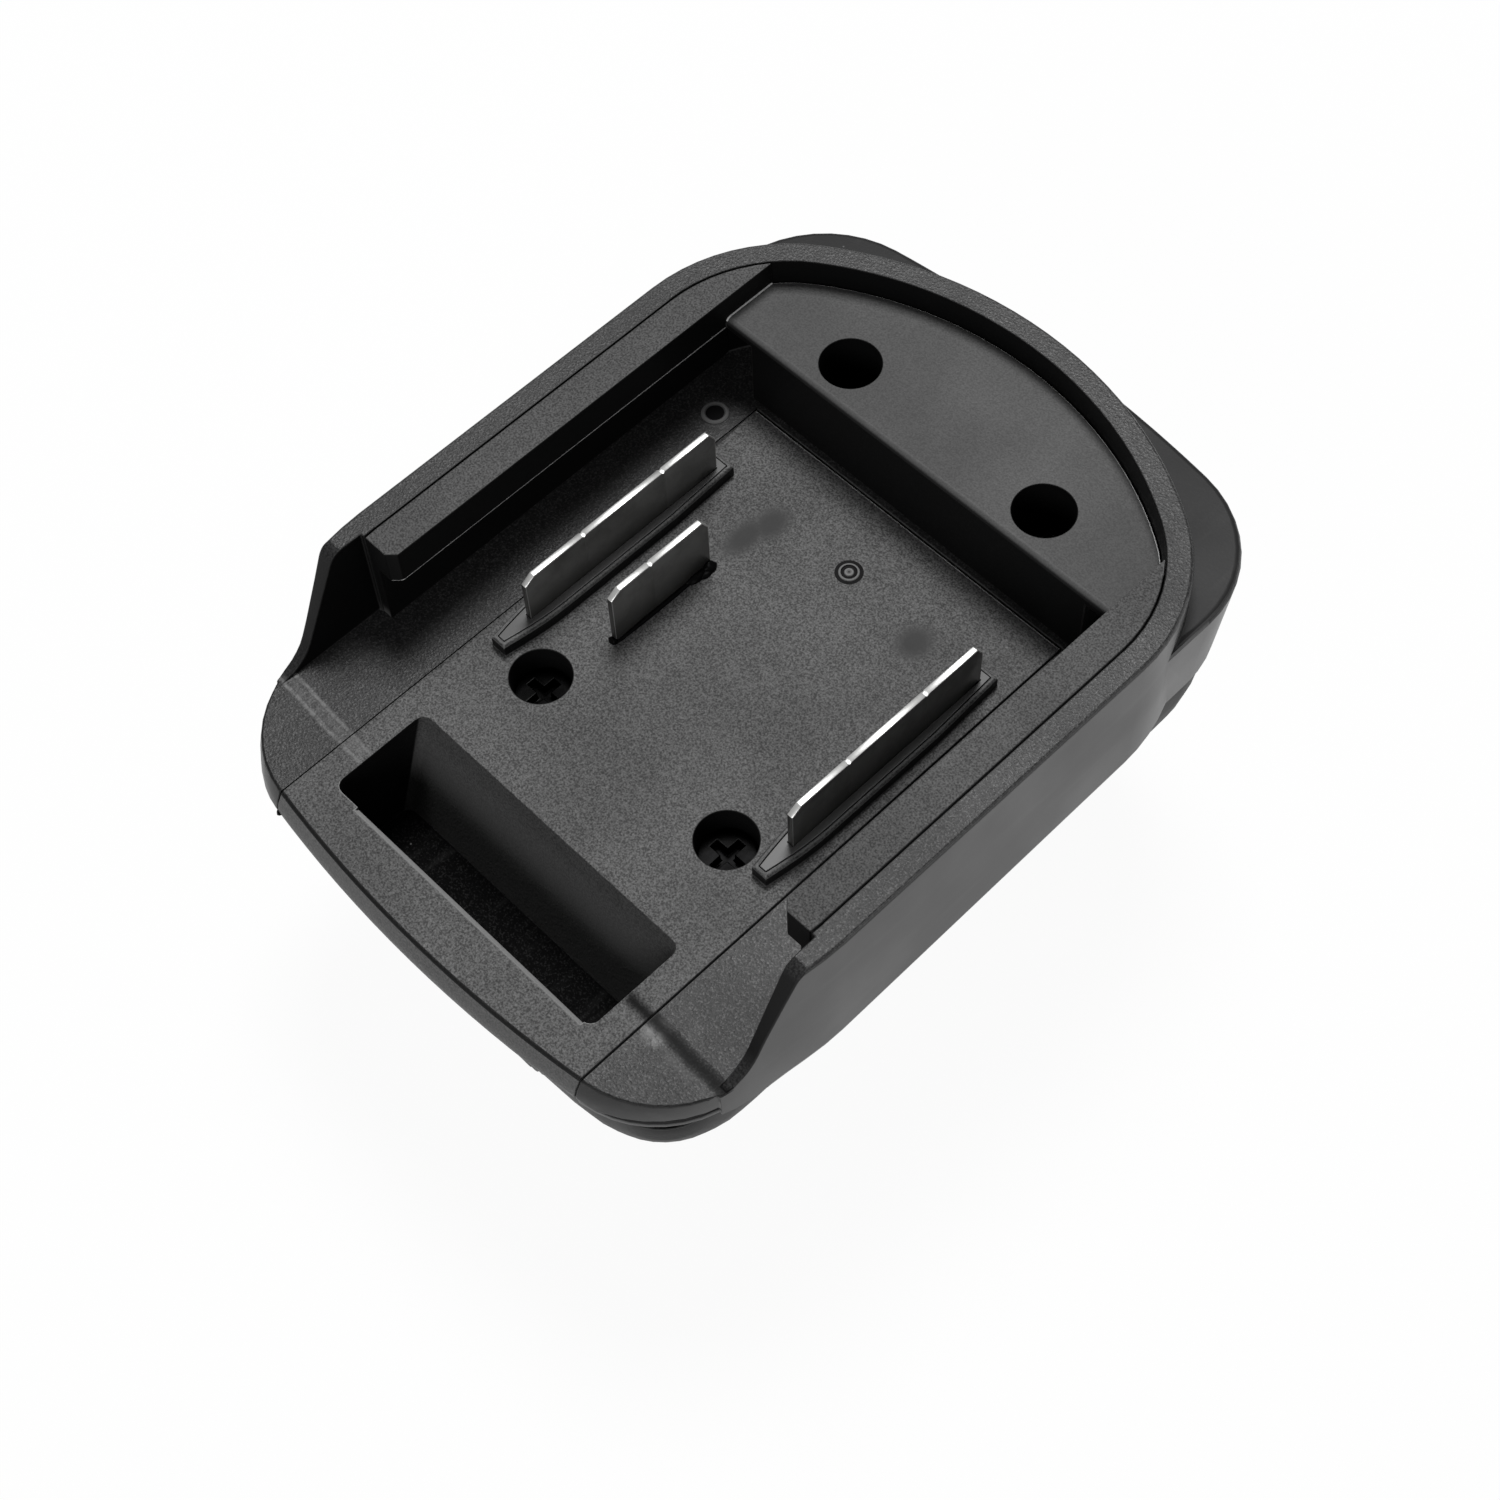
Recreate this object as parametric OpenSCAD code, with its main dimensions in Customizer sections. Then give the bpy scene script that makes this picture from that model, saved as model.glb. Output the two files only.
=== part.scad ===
// Slide-on battery adapter: a railed dock for a battery pack on top, a railed foot for the tool below.
// Lengths are in millimetres. Inside the modules the dock floor is z = 0 and the front screws lie on y = 0.

/* [Dock outline] */
// Overall width across the side walls
body_w = 75.5; // [74:0.5:78]
// Front edge of the dock, forward of the front screws
front_len = 33.2; // [32:0.2:36]
// Rear of the rim, behind the front screws
rear_len = 67; // [66:0.2:68]
// Radius of the arched rear of the rim
rear_r = 50; // [46:1:60]
// Radius of the rear corners of the rim
rear_corner_r = 22; // [18:0.5:24]
// Radius of the bowed front edge
front_r = 172; // [140:2:240]
// Radius of the front corners
front_corner_r = 13.6; // [11:0.2:16]
// Inward taper of each side towards the front
front_in = 1.2; // [0.6:0.1:1.6]
// Where that taper starts, forward of the front screws
taper_y = 5; // [3:0.5:7]
// Outward slope of the front edge from the floor to its underside
front_draft = 1.1; // [0.4:0.1:1.5]

/* [Rim and rails] */
// Height of the rim above the dock floor
rim_h = 14.6; // [13.6:0.1:17]
// Thickness of the side walls at the rim
rim_t = 3.05; // [2.6:0.05:3.4]
// Thickness of the wall ends in front of the rails
wall_end_t = 1.4; // [1:0.1:1.8]
// Width of each rail lip
lip_w = 4.6; // [3.8:0.1:5.4]
// Thickness of each rail lip
lip_t = 5.1; // [4:0.1:6]
// Thickness of the upright web beside each rail channel
web_t = 1.5; // [1.2:0.1:2]
// Front end of the lips, forward of the front screws
lip_front = 6.7; // [4:0.1:8]
// Corner cut at the front of the lips
lip_chamfer = 1.1; // [0.5:0.1:1.6]
// Drop from the rim to the rear shelf
shelf_drop = 3.5; // [2.5:0.1:4.5]
// Thickness of the shelf over the channel ends
shelf_t = 1.6; // [1.2:0.1:2.2]
// Front face of the shelf, behind the front screws
shelf_y = 44.6; // [43:0.2:46]
// Half width of the stop block under the shelf
stop_half = 26; // [24:0.5:27]
// Wall of the hollow stop block
stop_t = 2; // [1.6:0.1:2.6]
// Slope of the wall ends from the horizontal
ramp_ang = 63; // [56:1:72]
// Foot of the wall ends, forward of the front screws
ramp_y = 18.2; // [16:0.2:19.5]
// Hollow radius at the foot of the wall ends
ramp_foot_r = 6; // [3:0.5:7]
// Round at the top of the wall ends
ramp_top_r = 2.4; // [1:0.2:3]

/* [Plate and skirt] */
// Thickness of the dock floor
plate_t = 3; // [2.4:0.1:3.6]
// Depth of the side walls below the dock floor, beside the front screws
skirt_h = 7.3; // [6.4:0.1:8]
// Height of the sill under the front corners of the shell
sill_h = 1.5; // [1.2:0.1:1.8]
// Depth of the line between the floor and the sill
sill_line_d = 0.5; // [0.3:0.1:0.6]
// Rise of the lower edge of the side walls towards the rear, per millimetre
skirt_rise = 0.03; // [0:0.01:0.06]
// Half width of the central floor panel at its seam
seam_half = 24.5; // [24:0.1:26]
// Gap between the panel and the shelf
panel_gap = 1; // [0.6:0.1:1.5]
// Width of the ledge that carries the panel
ledge_w = 1.9; // [1.4:0.1:2.1]
// Thickness of the ledge that carries the panel
ledge_t = 1.6; // [1.2:0.1:2.2]
// Top of the rear shoulder above the dock floor
flange_z = 9.5; // [7:0.1:10.5]
// Width of the rear shoulder
flange_w = 74; // [72:0.2:74.6]
// Rear of the shoulder, behind the front screws
flange_len = 69.2; // [68.4:0.2:70]
// Radius of the bowed rear of the shoulder
flange_r = 170; // [140:5:220]
// Radius of the rear corners of the shoulder
flange_corner_r = 15; // [12:0.5:16]

/* [Latch pocket] */
// Width of the pocket for the battery latch
pocket_w = 41.6; // [36:0.2:43]
// Length of the pocket
pocket_l = 13.1; // [11:0.1:13.4]
// Rear edge of the pocket, forward of the front screws
pocket_y = 12.5; // [11.8:0.1:12.6]
// Depth of the pocket
pocket_d = 15; // [11:0.5:15.5]
// Forward lean of the pocket's rear wall, from its top to the pocket floor
pocket_lean = 5; // [3:0.5:6]
// Corner radius of the pocket
pocket_r = 1.2; // [0.6:0.1:2]
// Wall of the pocket well
well_t = 1.2; // [1:0.1:1.3]
// Chamfer on the front edge of the pocket
pocket_chamfer = 0.6; // [0.3:0.1:0.9]

/* [Contacts] */
// Thickness of the contact blades
blade_t = 0.8; // [0.6:0.05:1]
// Height of the blades above the dock floor
blade_h = 8.8; // [7.5:0.1:9.2]
// Half spacing of the two long blades
blade_x = 21; // [20.9:0.05:21.2]
// Front of the long blades, behind the front screws
blade_y = 3.8; // [3.4:0.1:5]
// Length of the long blades
blade_l = 29.6; // [27:0.2:30]
// Offset of the short blade from the middle
short_x = 12.7; // [11.5:0.1:13.5]
// Front of the short blade, behind the front screws
short_y = 9.2; // [8.6:0.1:10]
// Length of the short blade
short_l = 15; // [13:0.2:16]
// Height of the collars round the long blades
pad_h = 1.8; // [1.2:0.1:2.4]
// Greatest width of the collars
pad_w = 4.1; // [3.8:0.1:4.3]
// Width of the collars at the nose
pad_nose = 2.2; // [2:0.1:2.6]
// Width of the collars at the tail
pad_tail = 3.2; // [2.8:0.1:3.6]
// Length of the collars
pad_l = 36; // [35.4:0.2:37]
// Wall of the collars round the blade carrier
collar_t = 0.55; // [0.45:0.05:0.65]
// Thickness of the blade carrier plate
block_t = 3.2; // [2.6:0.1:3.8]
// Depth of the blade tails below the dock floor
tail_d = 11; // [9.5:0.5:12]
// Spacing of the two tool contacts from the middle
clip_x = 16; // [15.4:0.1:16.6]
// Front of the tool contacts, behind the front screws
clip_y = 31; // [30:0.5:32]
// Length of the tool contacts
clip_l = 13; // [10:0.5:14]
// Thickness of the bus strips
bus_t = 0.8; // [0.6:0.05:1]

/* [Housing] */
// Depth of the housing below the dock floor
base_d = 27; // [26.5:0.5:32]
// Width of the housing
house_w = 69.6; // [69:0.2:71]
// Front of the housing, forward of the front screws
house_front = 30.1; // [29.9:0.1:30.8]
// Rear of the housing, behind the front screws
house_rear = 65.8; // [64:0.2:66.6]
// Corner radius of the housing
house_r = 7; // [6:0.5:9]
// Wall of the housing at its top edge
house_t = 1.6; // [1.4:0.1:1.8]
// Floor thickness of the housing
house_floor_t = 2.4; // [2:0.1:3]
// Inward taper of each housing side, top to bottom
side_taper = 6.4; // [5:0.2:6.8]
// Inward taper of each housing end, top to bottom
end_taper = 4.4; // [4:0.2:5]
// Bow of the taper, 1 for straight walls
belly = 2; // [1.9:0.05:2.3]
// Shadow gap between the shell and the housing
part_gap = 0.4; // [0.2:0.1:0.6]
// Height of the band over the housing's groove
band_h = 0.9; // [0.6:0.1:1.2]
// Depth of the groove round the top of the housing
groove_d = 0.5; // [0.3:0.1:0.6]

/* [Tool foot] */
// Height of the foot
foot_h = 12; // [11:0.5:15]
// Width over the rails of the foot
foot_w = 50.4; // [48:0.2:54]
// Width of the neck between the rails
neck_w = 41; // [39.5:0.5:41.5]
// Thickness of the foot rails
foot_rail_t = 4; // [3:0.1:4.6]
// Front of the foot, forward of the front screws
foot_front = 11; // [10:0.5:12]
// Rear of the foot, behind the front screws
foot_rear = 61; // [59:0.5:62]
// Corner cut at the ends of the foot rails
foot_chamfer = 3; // [2:0.5:4]
// Width of the contact slots
slot_w = 4.8; // [4.5:0.1:5.2]
// Roof over the contact slots
slot_roof = 1.4; // [1.2:0.1:2]

/* [Release latch] */
// Travel of the latch
latch_travel = 3.5; // [2.5:0.1:3.6]
// Thickness of the latch bar
latch_t = 4; // [3:0.1:4]
// Width of the tongue under the springs
tongue_w = 20; // [18:0.5:21]
// Width of the hook
hook_w = 18; // [14:0.5:20]
// Reach of the hook below the housing
hook_l = 7; // [5:0.5:8]
// Width of the thumb button
button_w = 25; // [22:0.5:28]
// Height of the thumb button
button_h = 9.5; // [8:0.5:10]
// Grip ribs on the thumb button
button_ribs = 4; // [3:1:5]
// Outer diameter of the latch springs
spring_d = 5; // [4.2:0.1:5.4]
// Half spacing of the latch springs
spring_x = 6; // [5:0.2:6.6]
// Wire of the latch springs
spring_wire = 0.6; // [0.4:0.05:0.7]
// Turns of each latch spring
spring_turns = 6; // [4:1:7]

/* [Screws] */
// Half spacing of the housing screws across the body
screw_x = 15; // [14.6:0.1:15.2]
// Distance from the front to the rear housing screws
screw_pitch = 50; // [49.6:0.1:51]
// Diameter of the screw wells
screw_well = 7.3; // [7:0.1:7.6]
// Diameter of the screw heads
head_d = 6.7; // [6:0.1:6.8]
// Height of the screw heads
head_h = 2.6; // [2:0.1:3]
// Diameter of the housing screws
screw_d = 3.9; // [3.4:0.1:4]
// Length of the housing screws under the head
screw_l = 16; // [14:0.5:16.5]
// Depth of the front screw heads below the floor
head_sink = 3.5; // [3:0.1:4]
// Diameter of the foot screws
foot_screw_d = 2.9; // [2.5:0.1:3]
// Clearance of the screws in their holes, each side
hole_fit = 0.05; // [0.03:0.01:0.08]

/* [Fits] */
// Gap between mating mouldings
fit = 0.15; // [0.1:0.05:0.2]
// Gap between a blade and its slot, each side
slot_fit = 0.05; // [0.03:0.01:0.08]
// Gap round the moving latch
run_gap = 0.4; // [0.3:0.05:0.5]

/* [Hidden] */
$fn = 48;
far = 200;
half = body_w / 2;
wall_in = half - rim_t;
lip_in = wall_in - lip_w;
lip_z = rim_h - lip_t;
shelf_z = rim_h - shelf_drop;
panel_rear = shelf_y - panel_gap;
house_in = base_d - house_floor_t;
slot_z = -base_d - slot_roof;
dock_at = [0, (front_len - flange_len) / 2, base_d + foot_h];
pad_y = blade_y - 4.8;
block_z = -plate_t - block_t;
well_half = pocket_w / 2 + well_t;
well_z = -pocket_d - well_t;
well_front = -pocket_y - pocket_l - well_t;
boss_d = screw_well + 1.7;
front_seat = -head_sink - head_h;
front_boss_z = front_seat - 2;
rear_seat = 1.5;
bar_z = -house_in + 0.3;
bar_top = bar_z + latch_t;
bar_front = -house_front + end_taper + house_t;
tongue_front = -pocket_y + well_t + run_gap + 0.2;
tongue_rear = tongue_front + 7.6;
spring_y = (tongue_front + tongue_rear) / 2;
spring_z = bar_top + 6.3;
post_d = spring_d - 2 * spring_wire - 1.2;
button_back = well_front - run_gap;
hook_y = -pocket_y - 4.5;
foot_screws_at = [[16, -foot_front + 5.5], [8.5, foot_rear - 7]];
house_top = -skirt_h - part_gap;
band_z = -plate_t - part_gap - band_h;
edge_end = -ramp_y - 0.55 * ramp_foot_r;
bus_z = -house_in + 6;
clip_tail = bus_z + 4;

block_screws_at = [pad_y + pad_l * 0.36, pad_y + pad_l * 0.86];

// Points along an arc; the last point is left out where the next arc starts on it
function arc(c, r, a0, a1, n, skip) =
    [for (i = [0 : n - skip]) c + r * [cos(a0 + (a1 - a0) * i / n), sin(a0 + (a1 - a0) * i / n)]];

// Plan outline with a bowed rear and front and rounded corners, narrower by nf each side at the front, moved in by d
function plan(w, nf, yr, rr, cr, yf, rf, cf, d) =
    let (
        fx = w / 2 - nf - cf,
        fo = yf + rf,
        fy = fo - sqrt(pow(rf - cf, 2) - pow(fx, 2)),
        fa = atan2(fy - fo, fx),
        bx = w / 2 - cr,
        bo = yr - rr,
        by = bo + sqrt(pow(rr - cr, 2) - pow(bx, 2)),
        ba = atan2(by - bo, bx),
        side = nf == 0 ? [] : [for (u = [0.8 : -0.2 : -0.1])
            [w / 2 - d - nf * (1 - cos(180 * u)) / 2, -taper_y + (fy + taper_y) * u]]
    )
    concat(
        arc([fx, fy], cf - d, fa, 0, 10, 0),
        side,
        arc([bx, by], cr - d, 0, ba, 10, 1),
        arc([0, bo], rr - d, ba, 180 - ba, 24, 1),
        arc([-bx, by], cr - d, 180 - ba, 180, 10, 0),
        [for (i = [len(side) - 1 : -1 : 0]) [-side[i][0], side[i][1]]],
        arc([-fx, fy], cf - d, 180, 180 - fa, 10, 1),
        arc([0, fo], rf - d, 180 - fa, 360 + fa, 16, 1)
    );
function dock_plan(d) =
    plan(body_w, front_in, rear_len, rear_r, rear_corner_r, -front_len, front_r, front_corner_r, d);
function flange_plan(d) =
    plan(flange_w, 0, flange_len, flange_r, flange_corner_r, shelf_y - 24, 400, 2, d);
// Housing outline at a height z, moved in by d
function house_share(z) = pow(max(0, (house_top - z) / (house_top + base_d)), belly);
function house_face(z) = -house_front + end_taper * house_share(z);
function house_plan(z, d) =
    let (t = house_share(z))
    plan(house_w - 2 * side_taper * t, 0, house_rear - end_taper * t, flange_r, house_r + 3 + 3 * t,
        house_face(z), 400, house_r + 14 * sqrt(t), d);
function house_ring(z, d) = at_height(house_plan(z, d), z);
// Plan outline with the front edge alone moved back by d, a little wide at the sides
function edge_plan(d) =
    plan(body_w + 0.2, front_in, rear_len, rear_r, rear_corner_r, -front_len + d, front_r, front_corner_r + 1.2 * max(0, front_draft - d), 0);

// Rectangle with rounded corners, centred on the origin
function rrect(w, l, r) = concat(
    arc([w / 2 - r, l / 2 - r], r, 0, 90, 4, 0),
    arc([r - w / 2, l / 2 - r], r, 90, 180, 4, 0),
    arc([r - w / 2, r - l / 2], r, 180, 270, 4, 0),
    arc([w / 2 - r, r - l / 2], r, 270, 360, 4, 0)
);

// Pocket outline at a height z, grown by d; its rear edge comes forward with depth
function pocket_ring(z, d) =
    let (l = pocket_l - pocket_lean * max(0, -z) / pocket_d)
    [for (p = rrect(pocket_w + 2 * d, l + 2 * d, pocket_r + d)) [p[0], p[1] - pocket_y - pocket_l + l / 2, z]];

// Boat-shaped collar outline round a long blade, moved in by d
function pad_half(t) = t < 0.25 ? pad_nose / 2 + (pad_w - pad_nose) / 2 * sin(t * 360)
    : t < 0.72 ? pad_w / 2 : pad_w / 2 - (pad_w - pad_tail) / 2 * (t - 0.72) / 0.28;
pad_stops = [0, 0.05, 0.1, 0.15, 0.2, 0.25, 0.72, 1];
function pad_at(t, d) = pad_y + d + t * (pad_l - 2 * d);
function pad_plan(d) = concat(
    [for (t = pad_stops) [pad_half(t) - d, pad_at(t, d)]],
    [for (i = [len(pad_stops) - 1 : -1 : 0]) [d - pad_half(pad_stops[i]), pad_at(pad_stops[i], d)]]
);

function at_height(pts, z) = [for (p = pts) [p[0], p[1], z]];
// Outline laid along the rising lower edge of the side walls
function skirt_z(y) = -skirt_h + skirt_rise * y;
function at_skirt(pts, z) = [for (p = pts) [p[0], p[1], skirt_z(p[1]) + z]];

// Solid through a stack of outlines with the same number of points
module loft(rings) {
    n = len(rings[0]);
    m = len(rings);
    sides = [for (j = [0 : m - 2], i = [0 : n - 1])
        let (a = j * n + i, b = j * n + (i + 1) % n) each [[a, a + n, b + n], [a, b + n, b]]];
    polyhedron(
        [for (r = rings) each r],
        concat([[for (i = [0 : n - 1]) i]], sides, [[for (i = [n - 1 : -1 : 0]) (m - 1) * n + i]])
    );
}

// Profile of [y, z] points drawn out along x
module along_x(w) {
    rotate([90, 0, 90]) linear_extrude(w, center = true) children();
}

// Profile of [x, z] points drawn out along y
module along_y(y0, y1) {
    translate([0, y1, 0]) rotate([90, 0, 0]) linear_extrude(y1 - y0) children();
}

// Box from its low corner to its high corner
module box(a, b) {
    translate(a) cube(b - a);
}

module pair() {
    children();
    mirror([1, 0, 0]) children();
}

// Waste along the sloped front edge of the dock floor
module front_edge_cut() {
    difference() {
        box([-far, -front_len - 20, -plate_t - 0.3], [far, edge_end, 0.6]);
        loft([
            at_height(edge_plan(-0.35), -plate_t - 0.4),
            at_height(edge_plan(front_draft * 0.25), -plate_t * 0.45),
            at_height(edge_plan(front_draft), 0),
            at_height(edge_plan(front_draft * 1.5), 1)
        ]);
    }
}

// Waste round the sill: a line under the floor, then the sill a little inside the floor's edge
module sill_cut() {
    difference() {
        box([-far, -front_len - 20, -plate_t - sill_h - 1], [far, edge_end, -plate_t]);
        loft([
            at_height(dock_plan(0.6), -plate_t - sill_h - 2),
            at_height(dock_plan(0.6), -plate_t - sill_h),
            at_height(dock_plan(0.2), -plate_t - sill_h + 0.3),
            at_height(dock_plan(0.2), -plate_t - 0.4),
            at_height(dock_plan(sill_line_d), -plate_t - 0.35),
            at_height(dock_plan(sill_line_d), 1)
        ]);
    }
}

// Profile of the space in front of the sloped wall ends
module ramp_profile() {
    foot = ramp_foot_r * tan(ramp_ang / 2);
    top = ramp_top_r * tan(ramp_ang / 2);
    y1 = -ramp_y + rim_h / tan(ramp_ang) + top;
    polygon(concat(
        [[-far, 0]],
        arc([-ramp_y - foot, ramp_foot_r], ramp_foot_r, -90, ramp_ang - 90, 6, 0),
        arc([y1, rim_h - ramp_top_r], ramp_top_r, 90 + ramp_ang, 90, 6, 0),
        [[y1, rim_h + 5], [-far, rim_h + 5]]
    ));
}

// Underside line of the shell: high at the front, h below the floor plate, and low along the sides
module skirt_profile(h, g) {
    polygon([
        [-far, -plate_t - h - g], [-ramp_y - 4, -plate_t - h - g], [-ramp_y + 5, skirt_z(-ramp_y + 5) - g],
        [80, skirt_z(80) - g], [80, -far], [-far, -far]
    ]);
}

// Outer shell: rim, side walls, floor strips and rear shoulder
module outer_shell() {
    color("#202021") translate(dock_at) difference() {
        union() {
            difference() {
                union() {
                    loft([
                        at_skirt(dock_plan(0.8), 0),
                        at_skirt(dock_plan(0.15), 0.9),
                        at_skirt(dock_plan(0), 1.6),
                        at_height(dock_plan(0), rim_h - 0.5),
                        at_height(dock_plan(0.15), rim_h - 0.15),
                        at_height(dock_plan(0.5), rim_h)
                    ]);
                    loft([
                        at_skirt(flange_plan(1.6), 0.2),
                        at_skirt(flange_plan(1.1), 1.1),
                        at_height(flange_plan(0), flange_z - 0.9),
                        at_height(flange_plan(0.25), flange_z - 0.25),
                        at_height(flange_plan(0.9), flange_z)
                    ]);
                }
                linear_extrude(far) polygon(dock_plan(rim_t));
                translate([0, 0, -far - plate_t]) linear_extrude(far) polygon(dock_plan(rim_t));
                along_x(far) ramp_profile();
                pair() box([0, -far, 0], [half - front_in - wall_end_t, -lip_front, far]);
                intersection() {
                    along_x(far) skirt_profile(sill_h, 0);
                    box([-far, -far, -far], [far, -ramp_y + 5, -plate_t]);
                }
                front_edge_cut();
                sill_cut();
                box([-seam_half, -far, -far], [seam_half, panel_rear + fit, 1]);
            }
            pair() along_y(-lip_front - 2.5, panel_rear - 0.5) polygon([
                [seam_half - ledge_w, -plate_t - ledge_t], [seam_half + 3, -plate_t - ledge_t],
                [seam_half + 3, -plate_t + 1], [seam_half + 0.2, -plate_t + 1],
                [seam_half + 0.2, -plate_t], [seam_half - ledge_w, -plate_t]
            ]);
        }
        pair() translate([screw_x, screw_pitch, -plate_t - 1]) cylinder(d = screw_d + 0.5, h = plate_t + 2);
    }
}

// Rail frame: the two lips with their webs, the shelf and the stop block
module rail_frame() {
    reach = rim_t + fit;
    web_in = half - reach - web_t;
    color("#232324") translate(dock_at) difference() {
        intersection() {
            linear_extrude(rim_h) polygon(dock_plan(reach));
            box([-far, -lip_front, -1], [far, far, far]);
        }
        box([-web_in, -far, -1], [web_in, shelf_y, lip_z]);
        box([-lip_in, -far, lip_z - 1], [lip_in, shelf_y, far]);
        box([-lip_in, shelf_y - 1, shelf_z], [lip_in, far, far]);
        pair() box([stop_half, shelf_y - 1, -1], [web_in, shelf_y + 8, shelf_z - shelf_t]);
        pair() translate([lip_in, -lip_front, 0]) rotate([0, 0, 45])
            cube([lip_chamfer * sqrt(2), lip_chamfer * sqrt(2), far], center = true);
        difference() {
            intersection() {
                translate([0, 0, -1]) linear_extrude(shelf_z - shelf_t + 1) polygon(dock_plan(reach + stop_t));
                box([stop_t - stop_half, shelf_y + stop_t, -1], [stop_half - stop_t, far, far]);
            }
            pair() translate([screw_x, screw_pitch, -2]) cylinder(d = boss_d + 1, h = far);
        }
        pair() translate([screw_x, screw_pitch, rear_seat]) cylinder(d = screw_well, h = far);
        pair() translate([screw_x, screw_pitch, -1]) cylinder(d = screw_d + 0.5, h = far);
    }
}

// Central floor panel with the latch pocket, the screw wells and the blade collars
module terminal_base() {
    panel_half = seam_half - fit;
    color("#242425") translate(dock_at) difference() {
        union() {
            difference() {
                intersection() {
                    translate([0, 0, -plate_t]) linear_extrude(plate_t) polygon(dock_plan(0));
                    box([-panel_half, -far, -far], [panel_half, panel_rear, far]);
                }
                front_edge_cut();
            }
            loft([pocket_ring(well_z, well_t), pocket_ring(-1, well_t)]);
            pair() translate([screw_x, 0, front_boss_z]) cylinder(d = boss_d, h = -front_boss_z - 1);
            pair() translate([spring_x, spring_y, -plate_t - 2.5]) cylinder(d = post_d, h = 3);
            pair() translate([blade_x, 0, 0]) loft([
                at_height(pad_plan(0), -1),
                at_height(pad_plan(0), pad_h - 0.35),
                at_height(pad_plan(0.3), pad_h)
            ]);
        }
        loft([pocket_ring(-pocket_d, 0), pocket_ring(0, 0), pocket_ring(1, 0)]);
        translate([1.5, 0, 0]) along_x(pocket_w - 5) polygon([
            [-pocket_y - pocket_l - pocket_chamfer, 0.01], [-pocket_y - pocket_l + 0.2, 0.01],
            [-pocket_y - pocket_l + 0.2, -pocket_chamfer - 0.2]
        ]);
        pair() translate([screw_x, 0, front_seat]) cylinder(d = screw_well, h = far);
        pair() translate([screw_x, 0, -far]) cylinder(d = screw_d + 0.5, h = far);
        pair() translate([blade_x, 0, -far / 2]) linear_extrude(far) polygon(pad_plan(collar_t));
        box([-short_x - blade_t / 2 - slot_fit, short_y - slot_fit, -far],
            [-short_x + blade_t / 2 + slot_fit, short_y + short_l + slot_fit, far]);
        for (y = block_screws_at)
            translate([0, y, -plate_t - 1]) cylinder(d = 2.5 + 2 * hole_fit, h = plate_t + 0.2);
    }
}

// Outline of a blade with cut top corners and a tail through the carrier
module blade_profile(y0, l, tail0, tail1) {
    y1 = y0 + l;
    polygon([
        [y0, -plate_t], [tail0, -plate_t], [tail0, -tail_d], [tail1, -tail_d], [tail1, -plate_t],
        [y1, -plate_t], [y1, blade_h - 1.5], [y1 - 0.9, blade_h], [y0 + 1.4, blade_h], [y0, blade_h - 0.9]
    ]);
}
module long_blade() {
    along_x(blade_t) blade_profile(blade_y, blade_l, clip_y - 13, clip_y);
}

// Blade carrier with a boss through each collar
module terminal_block() {
    color("#262627") translate(dock_at) difference() {
        union() {
            box([-seam_half + ledge_w + 0.3, pad_y + 7, block_z], [seam_half - ledge_w - 0.3, pad_y + pad_l + 1.5, -plate_t]);
            pair() translate([blade_x, 0, -plate_t - 0.5]) linear_extrude(plate_t + 0.5 + pad_h)
                polygon(pad_plan(collar_t + 0.1));
        }
        pair() translate([blade_x, 0, 0]) {
            box([-blade_t / 2 - slot_fit, blade_y - slot_fit, -plate_t],
                [blade_t / 2 + slot_fit, blade_y + blade_l + slot_fit, far]);
            box([-blade_t / 2 - slot_fit, clip_y - 13 - slot_fit, -far], [blade_t / 2 + slot_fit, clip_y + slot_fit, 0]);
        }
        pair() box([0, pad_y - 1, -far] + [blade_x - 3, 0, 0], [blade_x + 3, pad_y + 7, -plate_t]);
        box([-short_x - blade_t / 2 - slot_fit, short_y + 3 - slot_fit, -far],
            [-short_x + blade_t / 2 + slot_fit, short_y + short_l - 3 + slot_fit, 0]);
        for (y = block_screws_at) translate([0, y, block_z - 1]) cylinder(d = 3, h = block_t + 2);
    }
}

module positive_blade() {
    color("#c9cacb") translate(dock_at) translate([blade_x, 0, 0]) long_blade();
}
module negative_blade() {
    color("#c9cacb") translate(dock_at) translate([-blade_x, 0, 0]) long_blade();
}
module signal_blade() {
    color("#c9cacb") translate(dock_at) translate([-short_x, 0, 0])
        along_x(blade_t) blade_profile(short_y, short_l, short_y + 3, short_y + short_l - 3);
}

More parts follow.
